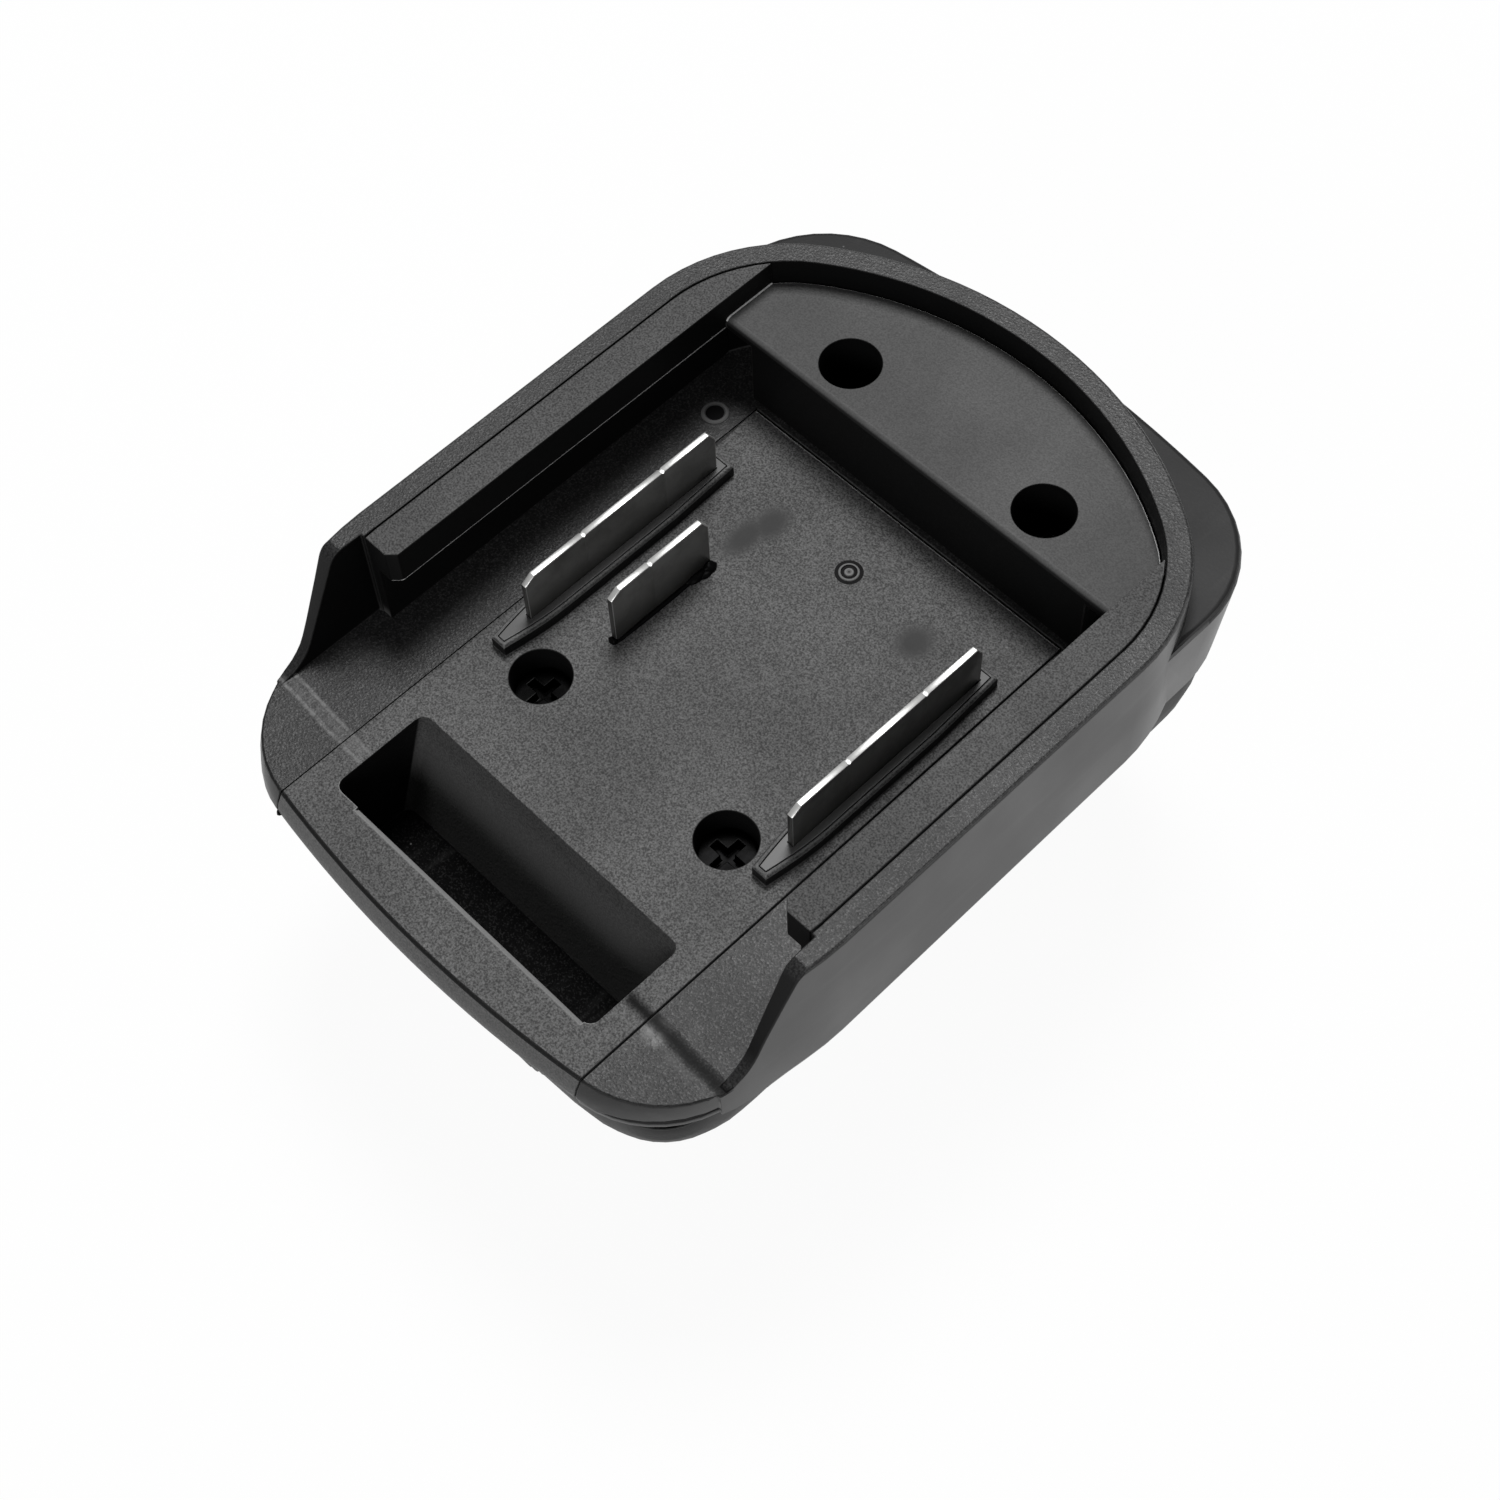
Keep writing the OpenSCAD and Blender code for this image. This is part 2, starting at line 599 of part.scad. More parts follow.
// Lower housing: tapered tray with screw bosses, latch guides and the latch openings
module lower_housing() {
    slit = blade_t + 2 * slot_fit;
    color("#1e1e1f") translate(dock_at) difference() {
        union() {
            difference() {
                loft(concat(
                    [house_ring(-base_d, 1.2), house_ring(-base_d + 0.8, 0.3)],
                    [for (i = [0 : 5]) house_ring(-base_d + 2 + (house_top + base_d - 2) * i / 5, 0)],
                    [house_ring(band_z - 0.6, 0), house_ring(band_z - 0.5, groove_d), house_ring(band_z - 0.1, groove_d),
                        house_ring(band_z, 0.1), house_ring(-plate_t - part_gap, 0.1)]
                ));
                loft(concat(
                    [for (i = [0 : 5]) house_ring(-house_in + (house_top + house_in) * i / 5, house_t)],
                    [house_ring(1, house_t)]
                ));
                difference() {
                    box([-far, -far, -skirt_h - part_gap - 3], [far, 75, far]);
                    along_x(far * 2) skirt_profile(sill_h, part_gap);
                    along_x(2 * seam_half - 0.6) skirt_profile(0, part_gap);
                }
            }
            pair() translate([screw_x, 0, -house_in - 1]) cylinder(d = 8, h = house_in + 1 + front_boss_z);
            pair() translate([screw_x, screw_pitch, -house_in - 1]) cylinder(d = 8, h = house_in + 1 - plate_t);
            pair() for (p = foot_screws_at)
                translate([p[0], p[1], -house_in - 1]) cylinder(d = 7, h = 8.4);
            pair() box([tongue_w / 2 + run_gap, tongue_front - 2, -house_in - 1],
                [tongue_w / 2 + run_gap + 1.6, tongue_rear - 1, bar_top - 0.5]);
        }
        pair() translate([screw_x, 0, front_seat - screw_l - 1]) cylinder(d = screw_d + 2 * hole_fit, h = far);
        pair() translate([screw_x, screw_pitch, rear_seat - screw_l - 1]) cylinder(d = screw_d + 2 * hole_fit, h = far);
        pair() for (p = foot_screws_at)
            translate([p[0], p[1], -base_d - 1]) cylinder(d = foot_screw_d + 2 * hole_fit, h = house_floor_t + 7.4);
        box([-hook_w / 2 - run_gap, hook_y - 5.5 - run_gap, -far], [hook_w / 2 + run_gap, hook_y + run_gap, -house_in + 1]);
        box([-button_w / 2 - run_gap, -far, -house_in],
            [button_w / 2 + run_gap, bar_front + 0.5, bar_z + button_h + latch_travel + run_gap]);
        for (x = [-clip_x, 0, clip_x])
            box([x - slit / 2, clip_y + 1 - slot_fit, -far], [x + slit / 2, clip_y + 7 + slot_fit, -house_in + 1]);
    }
}

// Tool foot: necked block with two outward rails and three contact slots
module tool_foot() {
    zb = -base_d - foot_h;
    slit = blade_t + 2 * slot_fit;
    color("#222223") translate(dock_at) difference() {
        intersection() {
            along_y(-foot_front, foot_rear) polygon([
                [-foot_w / 2 + 0.6, zb], [foot_w / 2 - 0.6, zb], [foot_w / 2, zb + 0.6],
                [foot_w / 2, zb + foot_rail_t], [neck_w / 2, zb + foot_rail_t], [neck_w / 2, -base_d],
                [-neck_w / 2, -base_d], [-neck_w / 2, zb + foot_rail_t], [-foot_w / 2, zb + foot_rail_t],
                [-foot_w / 2, zb + 0.6]
            ]);
            translate([0, 0, zb - 1]) linear_extrude(foot_h + 2) polygon([
                [foot_chamfer - foot_w / 2, -foot_front], [foot_w / 2 - foot_chamfer, -foot_front],
                [foot_w / 2, foot_chamfer - foot_front], [foot_w / 2, foot_rear - foot_chamfer * 1.6],
                [foot_w / 2 - foot_chamfer, foot_rear], [foot_chamfer - foot_w / 2, foot_rear],
                [-foot_w / 2, foot_rear - foot_chamfer * 1.6], [-foot_w / 2, foot_chamfer - foot_front]
            ]);
        }
        for (x = [-clip_x, 0, clip_x]) {
            box([x - slot_w / 2, clip_y - 1, -far], [x + slot_w / 2, far, slot_z]);
            box([x - slit / 2, clip_y + 1 - slot_fit, -far], [x + slit / 2, clip_y + 7 + slot_fit, far]);
        }
        pair() box([slot_w / 2 + 2, 0, zb + 2.5], [clip_x - slot_w / 2 - 2, foot_rear - 16, 0]);
        pair() for (p = foot_screws_at) {
            translate([p[0], p[1], zb - 1]) cylinder(d = 6.2, h = 4);
            translate([p[0], p[1], zb - 1]) cylinder(d = foot_screw_d + 0.4, h = far);
        }
    }
}

// Insulating plate that holds the tails of the tool contacts
module clip_carrier() {
    slit = blade_t + 2 * slot_fit;
    color("#39393b") translate(dock_at) difference() {
        box([-clip_x - 5, clip_y - 2, -house_in], [clip_x + 5, clip_y + clip_l + 1, -house_in + 2]);
        for (x = [-clip_x, 0, clip_x])
            box([x - slit / 2, clip_y + 1 - slot_fit, -far], [x + slit / 2, clip_y + 7 + slot_fit, 0]);
    }
}

// Forked spring contact that grips a tool blade, with a tail up into the housing
module clip() {
    z = slot_z;
    h = foot_h - slot_roof - 1;
    along_y(clip_y, clip_y + clip_l) polygon([
        [-1.5, z], [-1.5, z - 1.6], [-0.95, z - h * 0.66], [-1.7, z - h + 0.2], [-1.25, z - h],
        [-0.45, z - h * 0.66], [-1, z - 1.5], [-1, z - 0.8],
        [1, z - 0.8], [1, z - 1.5], [0.45, z - h * 0.66], [1.25, z - h],
        [1.7, z - h + 0.2], [0.95, z - h * 0.66], [1.5, z - 1.6], [1.5, z]
    ]);
    box([-blade_t / 2, clip_y + 1, z - 0.5], [blade_t / 2, clip_y + 7, clip_tail]);
}
module positive_clip() {
    color("#b98b4e") translate(dock_at) translate([clip_x, 0, 0]) clip();
}
module negative_clip() {
    color("#b98b4e") translate(dock_at) translate([-clip_x, 0, 0]) clip();
}
module signal_clip() {
    color("#b98b4e") translate(dock_at) clip();
}

// Bent strip from a blade tail at x1 down and across to a clip tail at x0
module bus(x0, x1, y0, y1) {
    a = x0 + blade_t / 2;
    b = x1 - blade_t / 2;
    box([a, y0, bus_z], [b, clip_y + 7, bus_z + bus_t]);
    box([b - bus_t, y0, bus_z], [b, y1, block_z - 0.4]);
    box([a, clip_y + 1, bus_z], [a + bus_t, clip_y + 7, clip_tail]);
}
module positive_bus() {
    color("#a9744a") translate(dock_at) bus(clip_x, blade_x, clip_y - 11, clip_y - 2);
}
module negative_bus() {
    color("#a9744a") translate(dock_at) mirror([1, 0, 0]) bus(clip_x, blade_x, clip_y - 11, clip_y - 2);
}
module signal_bus() {
    color("#a9744a") translate(dock_at) mirror([1, 0, 0]) bus(0, short_x, short_y + 3, short_y + short_l - 4);
}

// Release latch: bar under the pocket, spring platform behind it, hook below and thumb button in front
module release_latch() {
    hook_z = -base_d - hook_l;
    color("#2a2a2b") translate(dock_at) {
        box([-button_w / 2, bar_front - 1, bar_z], [button_w / 2, tongue_front - 3, bar_top]);
        box([-tongue_w / 2, tongue_front - 4, bar_z], [tongue_w / 2, tongue_rear, bar_top]);
        box([-tongue_w / 2, tongue_front, bar_z], [tongue_w / 2, tongue_rear, spring_z]);
        pair() translate([spring_x, spring_y, spring_z - 1]) cylinder(d = post_d, h = 3.5);
        along_x(hook_w) polygon([
            [hook_y - 5.5, bar_top - 1], [hook_y - 5.5, hook_z], [hook_y - 3.9, hook_z],
            [hook_y, hook_z + 5], [hook_y, bar_top - 1]
        ]);
        along_x(button_w) polygon(concat(
            [[bar_front, bar_z], [bar_front, bar_top], [button_back, bar_top], [button_back, bar_z + button_h]],
            [for (i = [button_ribs : -1 : 1], k = [0 : 3])
                let (z = bar_z + button_h * (i - [0, 0.2, 0.5, 0.8][k]) / button_ribs)
                [house_face(z) + [0.15, -0.15, -0.15, 0.15][k], z]],
            [[house_face(bar_z) + 0.15, bar_z]]
        ));
    }
}

// One unbroken helical wire between two heights, swept as a six-sided tube
module coil(d, wire, z0, z1, turns) {
    r = (d - wire) / 2;
    steps = turns * 8;
    rise = (z1 - z0 - wire) / steps;
    slope = atan2(rise * 8, 2 * PI * r);
    pts = [for (i = [0 : steps], k = [0 : 5])
        let (a = i * 45, q = k * 60, u = wire / 2 * cos(q), v = wire / 2 * sin(q))
        [(r + u) * cos(a) + v * sin(slope) * sin(a), (r + u) * sin(a) - v * sin(slope) * cos(a),
            z0 + wire / 2 + rise * i + v * cos(slope)]];
    sides = [for (i = [0 : steps - 1], k = [0 : 5])
        let (a = i * 6 + k, b = i * 6 + (k + 1) % 6) each [[a, b, b + 6], [a, b + 6, a + 6]]];
    ends = concat([for (k = [1 : 4]) [0, k + 1, k]], [for (k = [1 : 4]) [steps * 6, steps * 6 + k, steps * 6 + k + 1]]);
    polyhedron(pts, concat(sides, ends));
}
spring_rise = (-plate_t - spring_z - spring_wire) / spring_turns;
echo(least_gap_between_turns = spring_rise * cos(atan2(spring_rise, PI * (spring_d - spring_wire))) - spring_wire);
module latch_springs() {
    color("#b8babd") translate(dock_at) pair() translate([spring_x, spring_y, 0])
        coil(spring_d, spring_wire, spring_z, -plate_t, spring_turns);
}

// Pan-headed screw with its head seat at the origin, point down, and a cross recess
module screw(d, l, hd, hh) {
    difference() {
        union() {
            cylinder(d = hd, h = hh);
            translate([0, 0, 1 - l]) cylinder(d = d, h = l);
            translate([0, 0, -l]) cylinder(d1 = d * 0.6, d2 = d, h = 1.2);
        }
        for (a = [0, 90]) rotate([0, 0, a]) box([-hd * 0.32, -hd * 0.075, hh * 0.5], [hd * 0.32, hd * 0.075, hh + 1]);
    }
}
module housing_screws() {
    color("#8d8e91") translate(dock_at) pair() {
        translate([screw_x, 0, front_seat]) screw(screw_d, screw_l, head_d, head_h);
        translate([screw_x, screw_pitch, rear_seat]) screw(screw_d, screw_l, head_d, head_h);
    }
}
module foot_screws() {
    color("#8d8e91") translate(dock_at) pair() for (p = foot_screws_at)
        translate([p[0], p[1], -base_d - foot_h + 3]) mirror([0, 0, 1])
            screw(foot_screw_d, foot_h - 3 + house_floor_t + 6, 5.6, 2);
}
module block_screws() {
    color("#8d8e91") translate(dock_at) for (y = block_screws_at)
        translate([0, y, block_z]) mirror([0, 0, 1]) screw(2.5, block_t + plate_t - 1, 4.6, 1.6);
}

outer_shell();
rail_frame();
terminal_base();
terminal_block();
positive_blade();
negative_blade();
signal_blade();
lower_housing();
tool_foot();
clip_carrier();
positive_clip();
negative_clip();
signal_clip();
positive_bus();
negative_bus();
signal_bus();
release_latch();
latch_springs();
housing_screws();
foot_screws();
block_screws();
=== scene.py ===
"""Dresses the slide-on battery adapter: moulded dock, railed foot, contacts, latch and studio."""
import math

import bmesh
import bpy
from mathutils import Matrix, Vector, noise
from mathutils.bvhtree import BVHTree


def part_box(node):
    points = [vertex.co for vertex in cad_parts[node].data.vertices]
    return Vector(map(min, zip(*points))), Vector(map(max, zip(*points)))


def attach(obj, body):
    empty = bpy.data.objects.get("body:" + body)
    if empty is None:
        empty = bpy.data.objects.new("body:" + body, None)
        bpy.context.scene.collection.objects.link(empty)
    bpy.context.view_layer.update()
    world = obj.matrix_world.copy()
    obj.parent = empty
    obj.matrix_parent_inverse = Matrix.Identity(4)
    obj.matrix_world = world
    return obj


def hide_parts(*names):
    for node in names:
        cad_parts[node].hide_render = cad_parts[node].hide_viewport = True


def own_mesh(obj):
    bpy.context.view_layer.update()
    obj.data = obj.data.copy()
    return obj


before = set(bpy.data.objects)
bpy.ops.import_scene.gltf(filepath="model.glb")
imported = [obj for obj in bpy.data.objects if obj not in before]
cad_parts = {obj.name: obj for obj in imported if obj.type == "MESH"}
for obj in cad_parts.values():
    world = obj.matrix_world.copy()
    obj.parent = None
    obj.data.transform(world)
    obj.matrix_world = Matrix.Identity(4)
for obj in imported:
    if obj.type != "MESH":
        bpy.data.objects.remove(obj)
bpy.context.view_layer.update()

bl_info = {
    "name": "Battery Adapter Dresser",
    "version": (1, 0, 0),
    "blender": (4, 5, 0),
    "location": "View3D > Sidebar > Adapter",
    "description": "Builds the moulded, plated and sprung pieces of a slide-on battery adapter",
    "category": "Object",
}

MM = 0.001
DOCK_FLOOR = 39.0
DOCK_SHIFT = -18.0

# Places in the dock, in millimetres from its floor and its front screws
WELL_X = 15.0
WELL_EDGE = 3.8
FRONT_WELLS = 0.0
REAR_WELLS = 50.0
SHELL_FRONT = -22.0
PANEL_FRONT = -28.5
PANEL_REAR = 43.2
WALL_ENDS = -4.0
RIM_SIDE = 13.5
SHELF_FRONT = 44.6
SHELF_DROP = 3.5
LIP_UNDER = 9.5
POCKET_LIP = -25.0
POCKET_DEEP = -8.0
POCKET_SIDE = 20.6
CREASE_X, CREASE_Y = 26.0, -20.4
CREASE_SLOPE = 0.045
SCUFF_SPOT = (26.1, -21.2)

# Dull spots on the panel: place, width and length
DULL_SPOTS = ((-11.3, 33.0, 1.9, 2.6), (-12.2, 29.6, 1.7, 3.4), (12.0, 32.8, 2.1, 2.4))
# Nicks along each blade
BLADE_NICKS = {"positive_blade": (12.6, 24.5), "negative_blade": (12.9, 25.2), "signal_blade": (15.4,)}
# Mould rings: place, turned profile of (radius, height) points, and the mark of each band: painted shade on
# the low bands, painted highlight on the raised ones
GATE_RINGS = {
    "panel_gate_ring": (
        (0.0, 34.45, 0),
        ((1.72, -0.03), (1.68, 0.012), (1.26, 0.012), (1.2, 0.1), (1.0, 0.12), (0.92, 0.02), (0.58, 0.02),
         (0.5, 0.1), (0.3, 0.14), (0.12, 0.1), (0, 0.1)),
        (-1, -1, 1, 1.6, -1, -1, 1, 2, 0.6, -0.6)),
    "strip_gate_ring": (
        (-27.6, 39.8, 0),
        ((1.74, -0.03), (1.68, 0.1), (1.5, 0.2), (1.28, 0.2), (1.12, 0.1), (1.06, 0.015), (0, 0.015)),
        (0.3, 1.2, 1.2, 0.3, -1, -1)),
}
# Lumps of surplus plastic: place, then half width, length and height
GUM_LUMPS = {
    "blade_flash": ((-12.1, 21.8, 0, 0.75, 1.6, 0.6), (-12.0, 23.6, 0, 0.75, 1.0, 0.9),
                    (-11.7, 22.7, 0, 0.6, 0.9, 0.4), (-12.1, 16.0, 0, 0.34, 7.0, 0.3),
                    (-12.6, 9.0, 0, 0.6, 0.5, 0.5)),
    "seam_burr": ((-24.2, -31.25, -3.0, 0.45, 0.55, 0.4), (-24.6, -31.0, -2.8, 0.4, 0.4, 0.3)),
}

# How near a point has to be to a plane, in millimetres, and to another point to be one with it, in metres
FLAT = 0.01
WELD = 2e-7
# Least angle of an edge that is rounded
SHARP = math.radians(32)
NICK_HALF = 0.28 * MM
# Mark of the painted glint along the lips' lower inner edges
PAINTED_LIP_GLINT = 3.0

PLATE_POLISH = (0.74, 0.74, 0.73, 1)
BRONZE_TARNISH = (0.3, 0.17, 0.08, 1)
BRONZE_POLISH = (0.7, 0.45, 0.22, 1)
ZINC_POLISH = (0.006, 0.006, 0.006, 1)
PAPER_TONE = (0.86, 0.86, 0.86, 1)
WHITE = (1, 1, 1, 1)

# Studio, in metres
FLOOR_HALF = 12
FLOOR_GAP = 0.0002
LIT_SPOT = (0, 0, 0.04)
KEY_PLACE = (-0.27, 0.36, 1.07)
FILL_PLACE = (0.35, -0.9, 0.5)

# Camera fitted to the view: its axes in the frame, its place in the dock and the shift of its picture
VIEW_RIGHT = Vector((0.69708, 0.71596, -0.03841))
VIEW_DOWN = Vector((0.60478, -0.61591, -0.50487))
VIEW_AHEAD = Vector((-0.38513, 0.32871, -0.86234))
VIEW_EYE = (116.98, -88.34, 246.94)
VIEW_SHIFT = (0.02576, 0.00716)


def dock(x, y, z):
    """Point of the dock, in millimetres from its floor and its front screws, as a place in the frame."""
    return Vector((x, y + DOCK_SHIFT, z + DOCK_FLOOR)) * MM


def dock_mm(spot):
    """Place in the frame as a point of the dock, in millimetres from its floor and its front screws."""
    return spot / MM - Vector((0, DOCK_SHIFT, DOCK_FLOOR))


def dimmed(tone, share):
    """A colour at a share of its brightness."""
    return [share * part for part in tone[:3]] + [1]


# Properties


class AdapterFinish(bpy.types.PropertyGroup):
    """Colours and surface of the mouldings and metals."""
    shell_tone: bpy.props.FloatVectorProperty(
        name="Shell tone", description="Colour of the smooth outer shell", subtype="COLOR", size=4,
        default=(0.021, 0.021, 0.0213, 1), min=0, max=1)
    dock_tone: bpy.props.FloatVectorProperty(
        name="Dock tone", description="Colour of the spark-eroded dock mouldings", subtype="COLOR", size=4,
        default=(0.088, 0.088, 0.088, 1), min=0, max=1)
    # Darkest tone: pits and dull patches, and also the painted shade on inward walls, in the wells, in the
    # pocket and along dark edge lines
    deep_and_shade_tone: bpy.props.FloatVectorProperty(
        name="Deep tone", description="Darkest tone of the plastic, in pits and dull patches",
        subtype="COLOR", size=4, default=(0.0022, 0.0022, 0.0023, 1), min=0, max=1)
    # Pale tone: rubbed plastic, and also the painted highlights on edges and the painted light on the pocket's
    # rear wall
    rub_and_highlight_tone: bpy.props.FloatVectorProperty(
        name="Rub tone", description="Pale tone of rubbed plastic", subtype="COLOR", size=4,
        default=(0.19, 0.19, 0.19, 1), min=0, max=1)
    # Painted highlight: the glint laid on the brightest-marked edges, under the lips, round the shelf and
    # along the panel's rear edge
    painted_glint_tone: bpy.props.FloatVectorProperty(
        name="Glint tone", description="Tone of the sharpest rubbed edges", subtype="COLOR", size=4,
        default=(0.85, 0.85, 0.85, 1), min=0, max=1)
    plate_tone: bpy.props.FloatVectorProperty(
        name="Plate tone", description="Colour of the nickel plate on the blades", subtype="COLOR", size=4,
        default=(0.34, 0.338, 0.332, 1), min=0, max=1)
    tarnish_tone: bpy.props.FloatVectorProperty(
        name="Tarnish tone", description="Colour of the handled plate", subtype="COLOR", size=4,
        default=(0.13, 0.129, 0.125, 1), min=0, max=1)
    bronze_tone: bpy.props.FloatVectorProperty(
        name="Bronze tone", description="Colour of the spring bronze", subtype="COLOR", size=4,
        default=(0.55, 0.33, 0.15, 1), min=0, max=1)
    steel_tone: bpy.props.FloatVectorProperty(
        name="Steel tone", description="Colour of the drawn spring wire", subtype="COLOR", size=4,
        default=(0.5, 0.51, 0.53, 1), min=0, max=1)
    # Blackened screws; the tone is near black as painted shade that stands in for the depth of the wells
    zinc_tone: bpy.props.FloatVectorProperty(
        name="Black zinc tone", description="Colour of the blackened screws", subtype="COLOR", size=4,
        default=(0.0008, 0.0008, 0.0008, 1), min=0, max=1)
    grain_size: bpy.props.FloatProperty(
        name="Grain size", description="Width of a grain of the spark-eroded surface, in millimetres",
        default=0.18, min=0.1, max=1)


class AdapterForm(bpy.types.PropertyGroup):
    """Sizes of the edges and small forms."""
    shell_edge: bpy.props.FloatProperty(
        name="Shell edge", description="Rounding of the shell's edges",
        default=0.16 * MM, min=0.02 * MM, max=0.5 * MM, unit="LENGTH", precision=5)
    dock_edge: bpy.props.FloatProperty(
        name="Dock edge", description="Rounding of the dock's edges",
        default=0.14 * MM, min=0.02 * MM, max=0.5 * MM, unit="LENGTH", precision=5)
    metal_edge: bpy.props.FloatProperty(
        name="Metal edge", description="Bevel of the blades' edges",
        default=0.11 * MM, min=0.02 * MM, max=0.3 * MM, unit="LENGTH", precision=5)
    nick_depth: bpy.props.FloatProperty(
        name="Nick depth", description="Depth of the nicks in the blades",
        default=0.26 * MM, min=0, max=0.4 * MM, unit="LENGTH", precision=5)
    spring_turns: bpy.props.IntProperty(
        name="Spring turns", description="Turns of each latch spring", default=6, min=3, max=9)
    wire: bpy.props.FloatProperty(
        name="Spring wire", description="Thickness of the spring wire",
        default=0.6 * MM, min=0.3 * MM, max=1 * MM, unit="LENGTH", precision=5)


class AdapterStudio(bpy.types.PropertyGroup):
    """Light and view."""
    key_power: bpy.props.FloatProperty(
        name="Key light", description="Power of the overhead soft light", default=12.5, min=0, unit="POWER")
    fill_power: bpy.props.FloatProperty(
        name="Fill light", description="Power of the front light", default=4.2, min=0, unit="POWER")
    room: bpy.props.FloatProperty(
        name="Room light", description="Strength of the light from all around", default=0.03, min=0, max=1)
    gleam: bpy.props.FloatProperty(
        name="Room gleam", description="Share of the white room that shows in reflections",
        default=0.3, min=0, max=1)
    lens: bpy.props.FloatProperty(
        name="Lens", description="Focal length of the camera", default=62.19, min=10, max=200, unit="CAMERA")


# Node trees


def feed(tree, socket, value):
    """Links an input to another socket, or sets its value."""
    if isinstance(value, bpy.types.NodeSocket):
        tree.links.new(value, socket)
    else:
        socket.default_value = value


def put(tree, kind, ins=None, **settings):
    """New shader node with its settings, and its inputs linked or set."""
    made = tree.nodes.new("ShaderNode" + kind)
    for key, value in settings.items():
        setattr(made, key, value)
    for key, value in (ins or {}).items():
        feed(tree, made.inputs[key], value)
    return made


def maths(tree, operation, a, b=0.0, clamp=False):
    return put(tree, "Math", {0: a, 1: b}, operation=operation, use_clamp=clamp).outputs[0]


def times(tree, a, b, clamp=False):
    return maths(tree, "MULTIPLY", a, b, clamp)


def plus(tree, a, b):
    return maths(tree, "ADD", a, b)


def minus(tree, a, b, clamp=False):
    return maths(tree, "SUBTRACT", a, b, clamp)


def most(tree, a, b):
    return maths(tree, "MAXIMUM", a, b)


def unsigned(tree, value):
    return maths(tree, "ABSOLUTE", value)


def ramp(tree, value, low, high, out_low=0.0, out_high=1.0):
    """Smooth step of a value between two limits."""
    return put(tree, "MapRange", {0: value, 1: low, 2: high, 3: out_low, 4: out_high},
               interpolation_type="SMOOTHSTEP").outputs[0]


def blend(tree, factor, a, b):
    """Mix of two colours by a factor."""
    return put(tree, "Mix", {0: factor, 6: a, 7: b}, data_type="RGBA").outputs[2]


def vector(tree, operation, a, b):
    """Difference or product of two vectors."""
    return put(tree, "VectorMath", {0: a, 1: b}, operation=operation).outputs[0]


def length(tree, a):
    return put(tree, "VectorMath", {0: a}, operation="LENGTH").outputs["Value"]


def place_mm(tree, stretch=(1, 1, 1)):
    """Place on the piece in millimetres, stretched along its axes."""
    return vector(tree, "MULTIPLY", put(tree, "TexCoord").outputs["Object"], [s / MM for s in stretch])


def axes_mm(tree):
    """The three parts of the place on the piece, in millimetres."""
    return put(tree, "SeparateXYZ", {0: place_mm(tree)}).outputs


def off_spot(tree, x, y):
    """Way from a spot on the dock floor, in millimetres."""
    return vector(tree, "SUBTRACT", place_mm(tree), dock(x, y, 0) / MM)


def cloud(tree, spot, scale, detail, roughness=0.5, seed=None):
    """Soft noise over a place; a seed gives it a pattern of its own."""
    ins = {"Vector": spot, "Scale": scale, "Detail": detail, "Roughness": roughness}
    if seed is None:
        return put(tree, "TexNoise", ins).outputs[0]
    return put(tree, "TexNoise", {**ins, "W": seed}, noise_dimensions="4D").outputs[0]


def start_group(name, inputs, outputs):
    """Empty shader group with named sockets; returns its tree, its inputs and its output node."""
    tree = bpy.data.node_groups.new(name, "ShaderNodeTree")
    for label, value in inputs:
        socket = tree.interface.new_socket(label, in_out="INPUT", socket_type="NodeSocketFloat")
        socket.default_value = value
    for label in outputs:
        tree.interface.new_socket(label, in_out="OUTPUT", socket_type="NodeSocketFloat")
    return tree, tree.nodes.new("NodeGroupInput").outputs, tree.nodes.new("NodeGroupOutput").inputs


def send(tree, outputs, **values):
    for label, socket in values.items():
        tree.links.new(socket, outputs[label])


def spark_grain():
    """Fine pitted surface of a spark-eroded mould: its height, its pits and its bright crests."""
    tree, given, out = start_group("Spark Grain", [("Size", 0.3), ("Amount", 1)],
                                   ["Height", "Pits", "Crests"])
    amount = given["Amount"]
    per_grain = maths(tree, "DIVIDE", 1.0, given["Size"])
    spot = put(tree, "VectorMath", {0: place_mm(tree), "Scale": per_grain}, operation="SCALE").outputs[0]
    fine = cloud(tree, spot, 0.8, 2.0, 0.6)
    cells = put(tree, "TexVoronoi", {"Vector": spot, "Scale": 0.55, "Smoothness": 0.5},
                feature="SMOOTH_F1").outputs[0]
    coarse = cloud(tree, spot, 0.22, 1.0)
    uneven = plus(tree, times(tree, cells, 0.35), times(tree, coarse, 0.25))
    height = plus(tree, times(tree, fine, 0.6), uneven)
    send(tree, out, Height=times(tree, height, amount),
         Pits=times(tree, ramp(tree, fine, 0.53, 0.36), amount),
         Crests=times(tree, ramp(tree, fine, 0.52, 0.68), amount))
    return tree


def facing():
    """Which way a face looks: up, inwards to the middle, or forward above the floor; and its level."""
    tree, given, out = start_group("Facing", [("Low", 0.35), ("High", 0.8)],
                                   ["Up", "Inward", "Forward", "Level"])
    turn = put(tree, "TexCoord").outputs["Normal"]
    axes = put(tree, "SeparateXYZ", {0: turn}).outputs
    level = axes_mm(tree)[2]
    ahead = times(tree, ramp(tree, axes[1], -0.35, -0.75),
                  ramp(tree, level, DOCK_FLOOR + 0.3, DOCK_FLOOR + 2.0))
    flat = vector(tree, "MULTIPLY", place_mm(tree), (1, 1, 0))
    lean = put(tree, "VectorMath", {0: turn, 1: flat}, operation="DOT_PRODUCT").outputs["Value"]
    send(tree, out, Up=ramp(tree, axes[2], given["Low"], given["High"]),
         Inward=ramp(tree, lean, -4.0, -14.0), Forward=ahead, Level=level)
    return tree


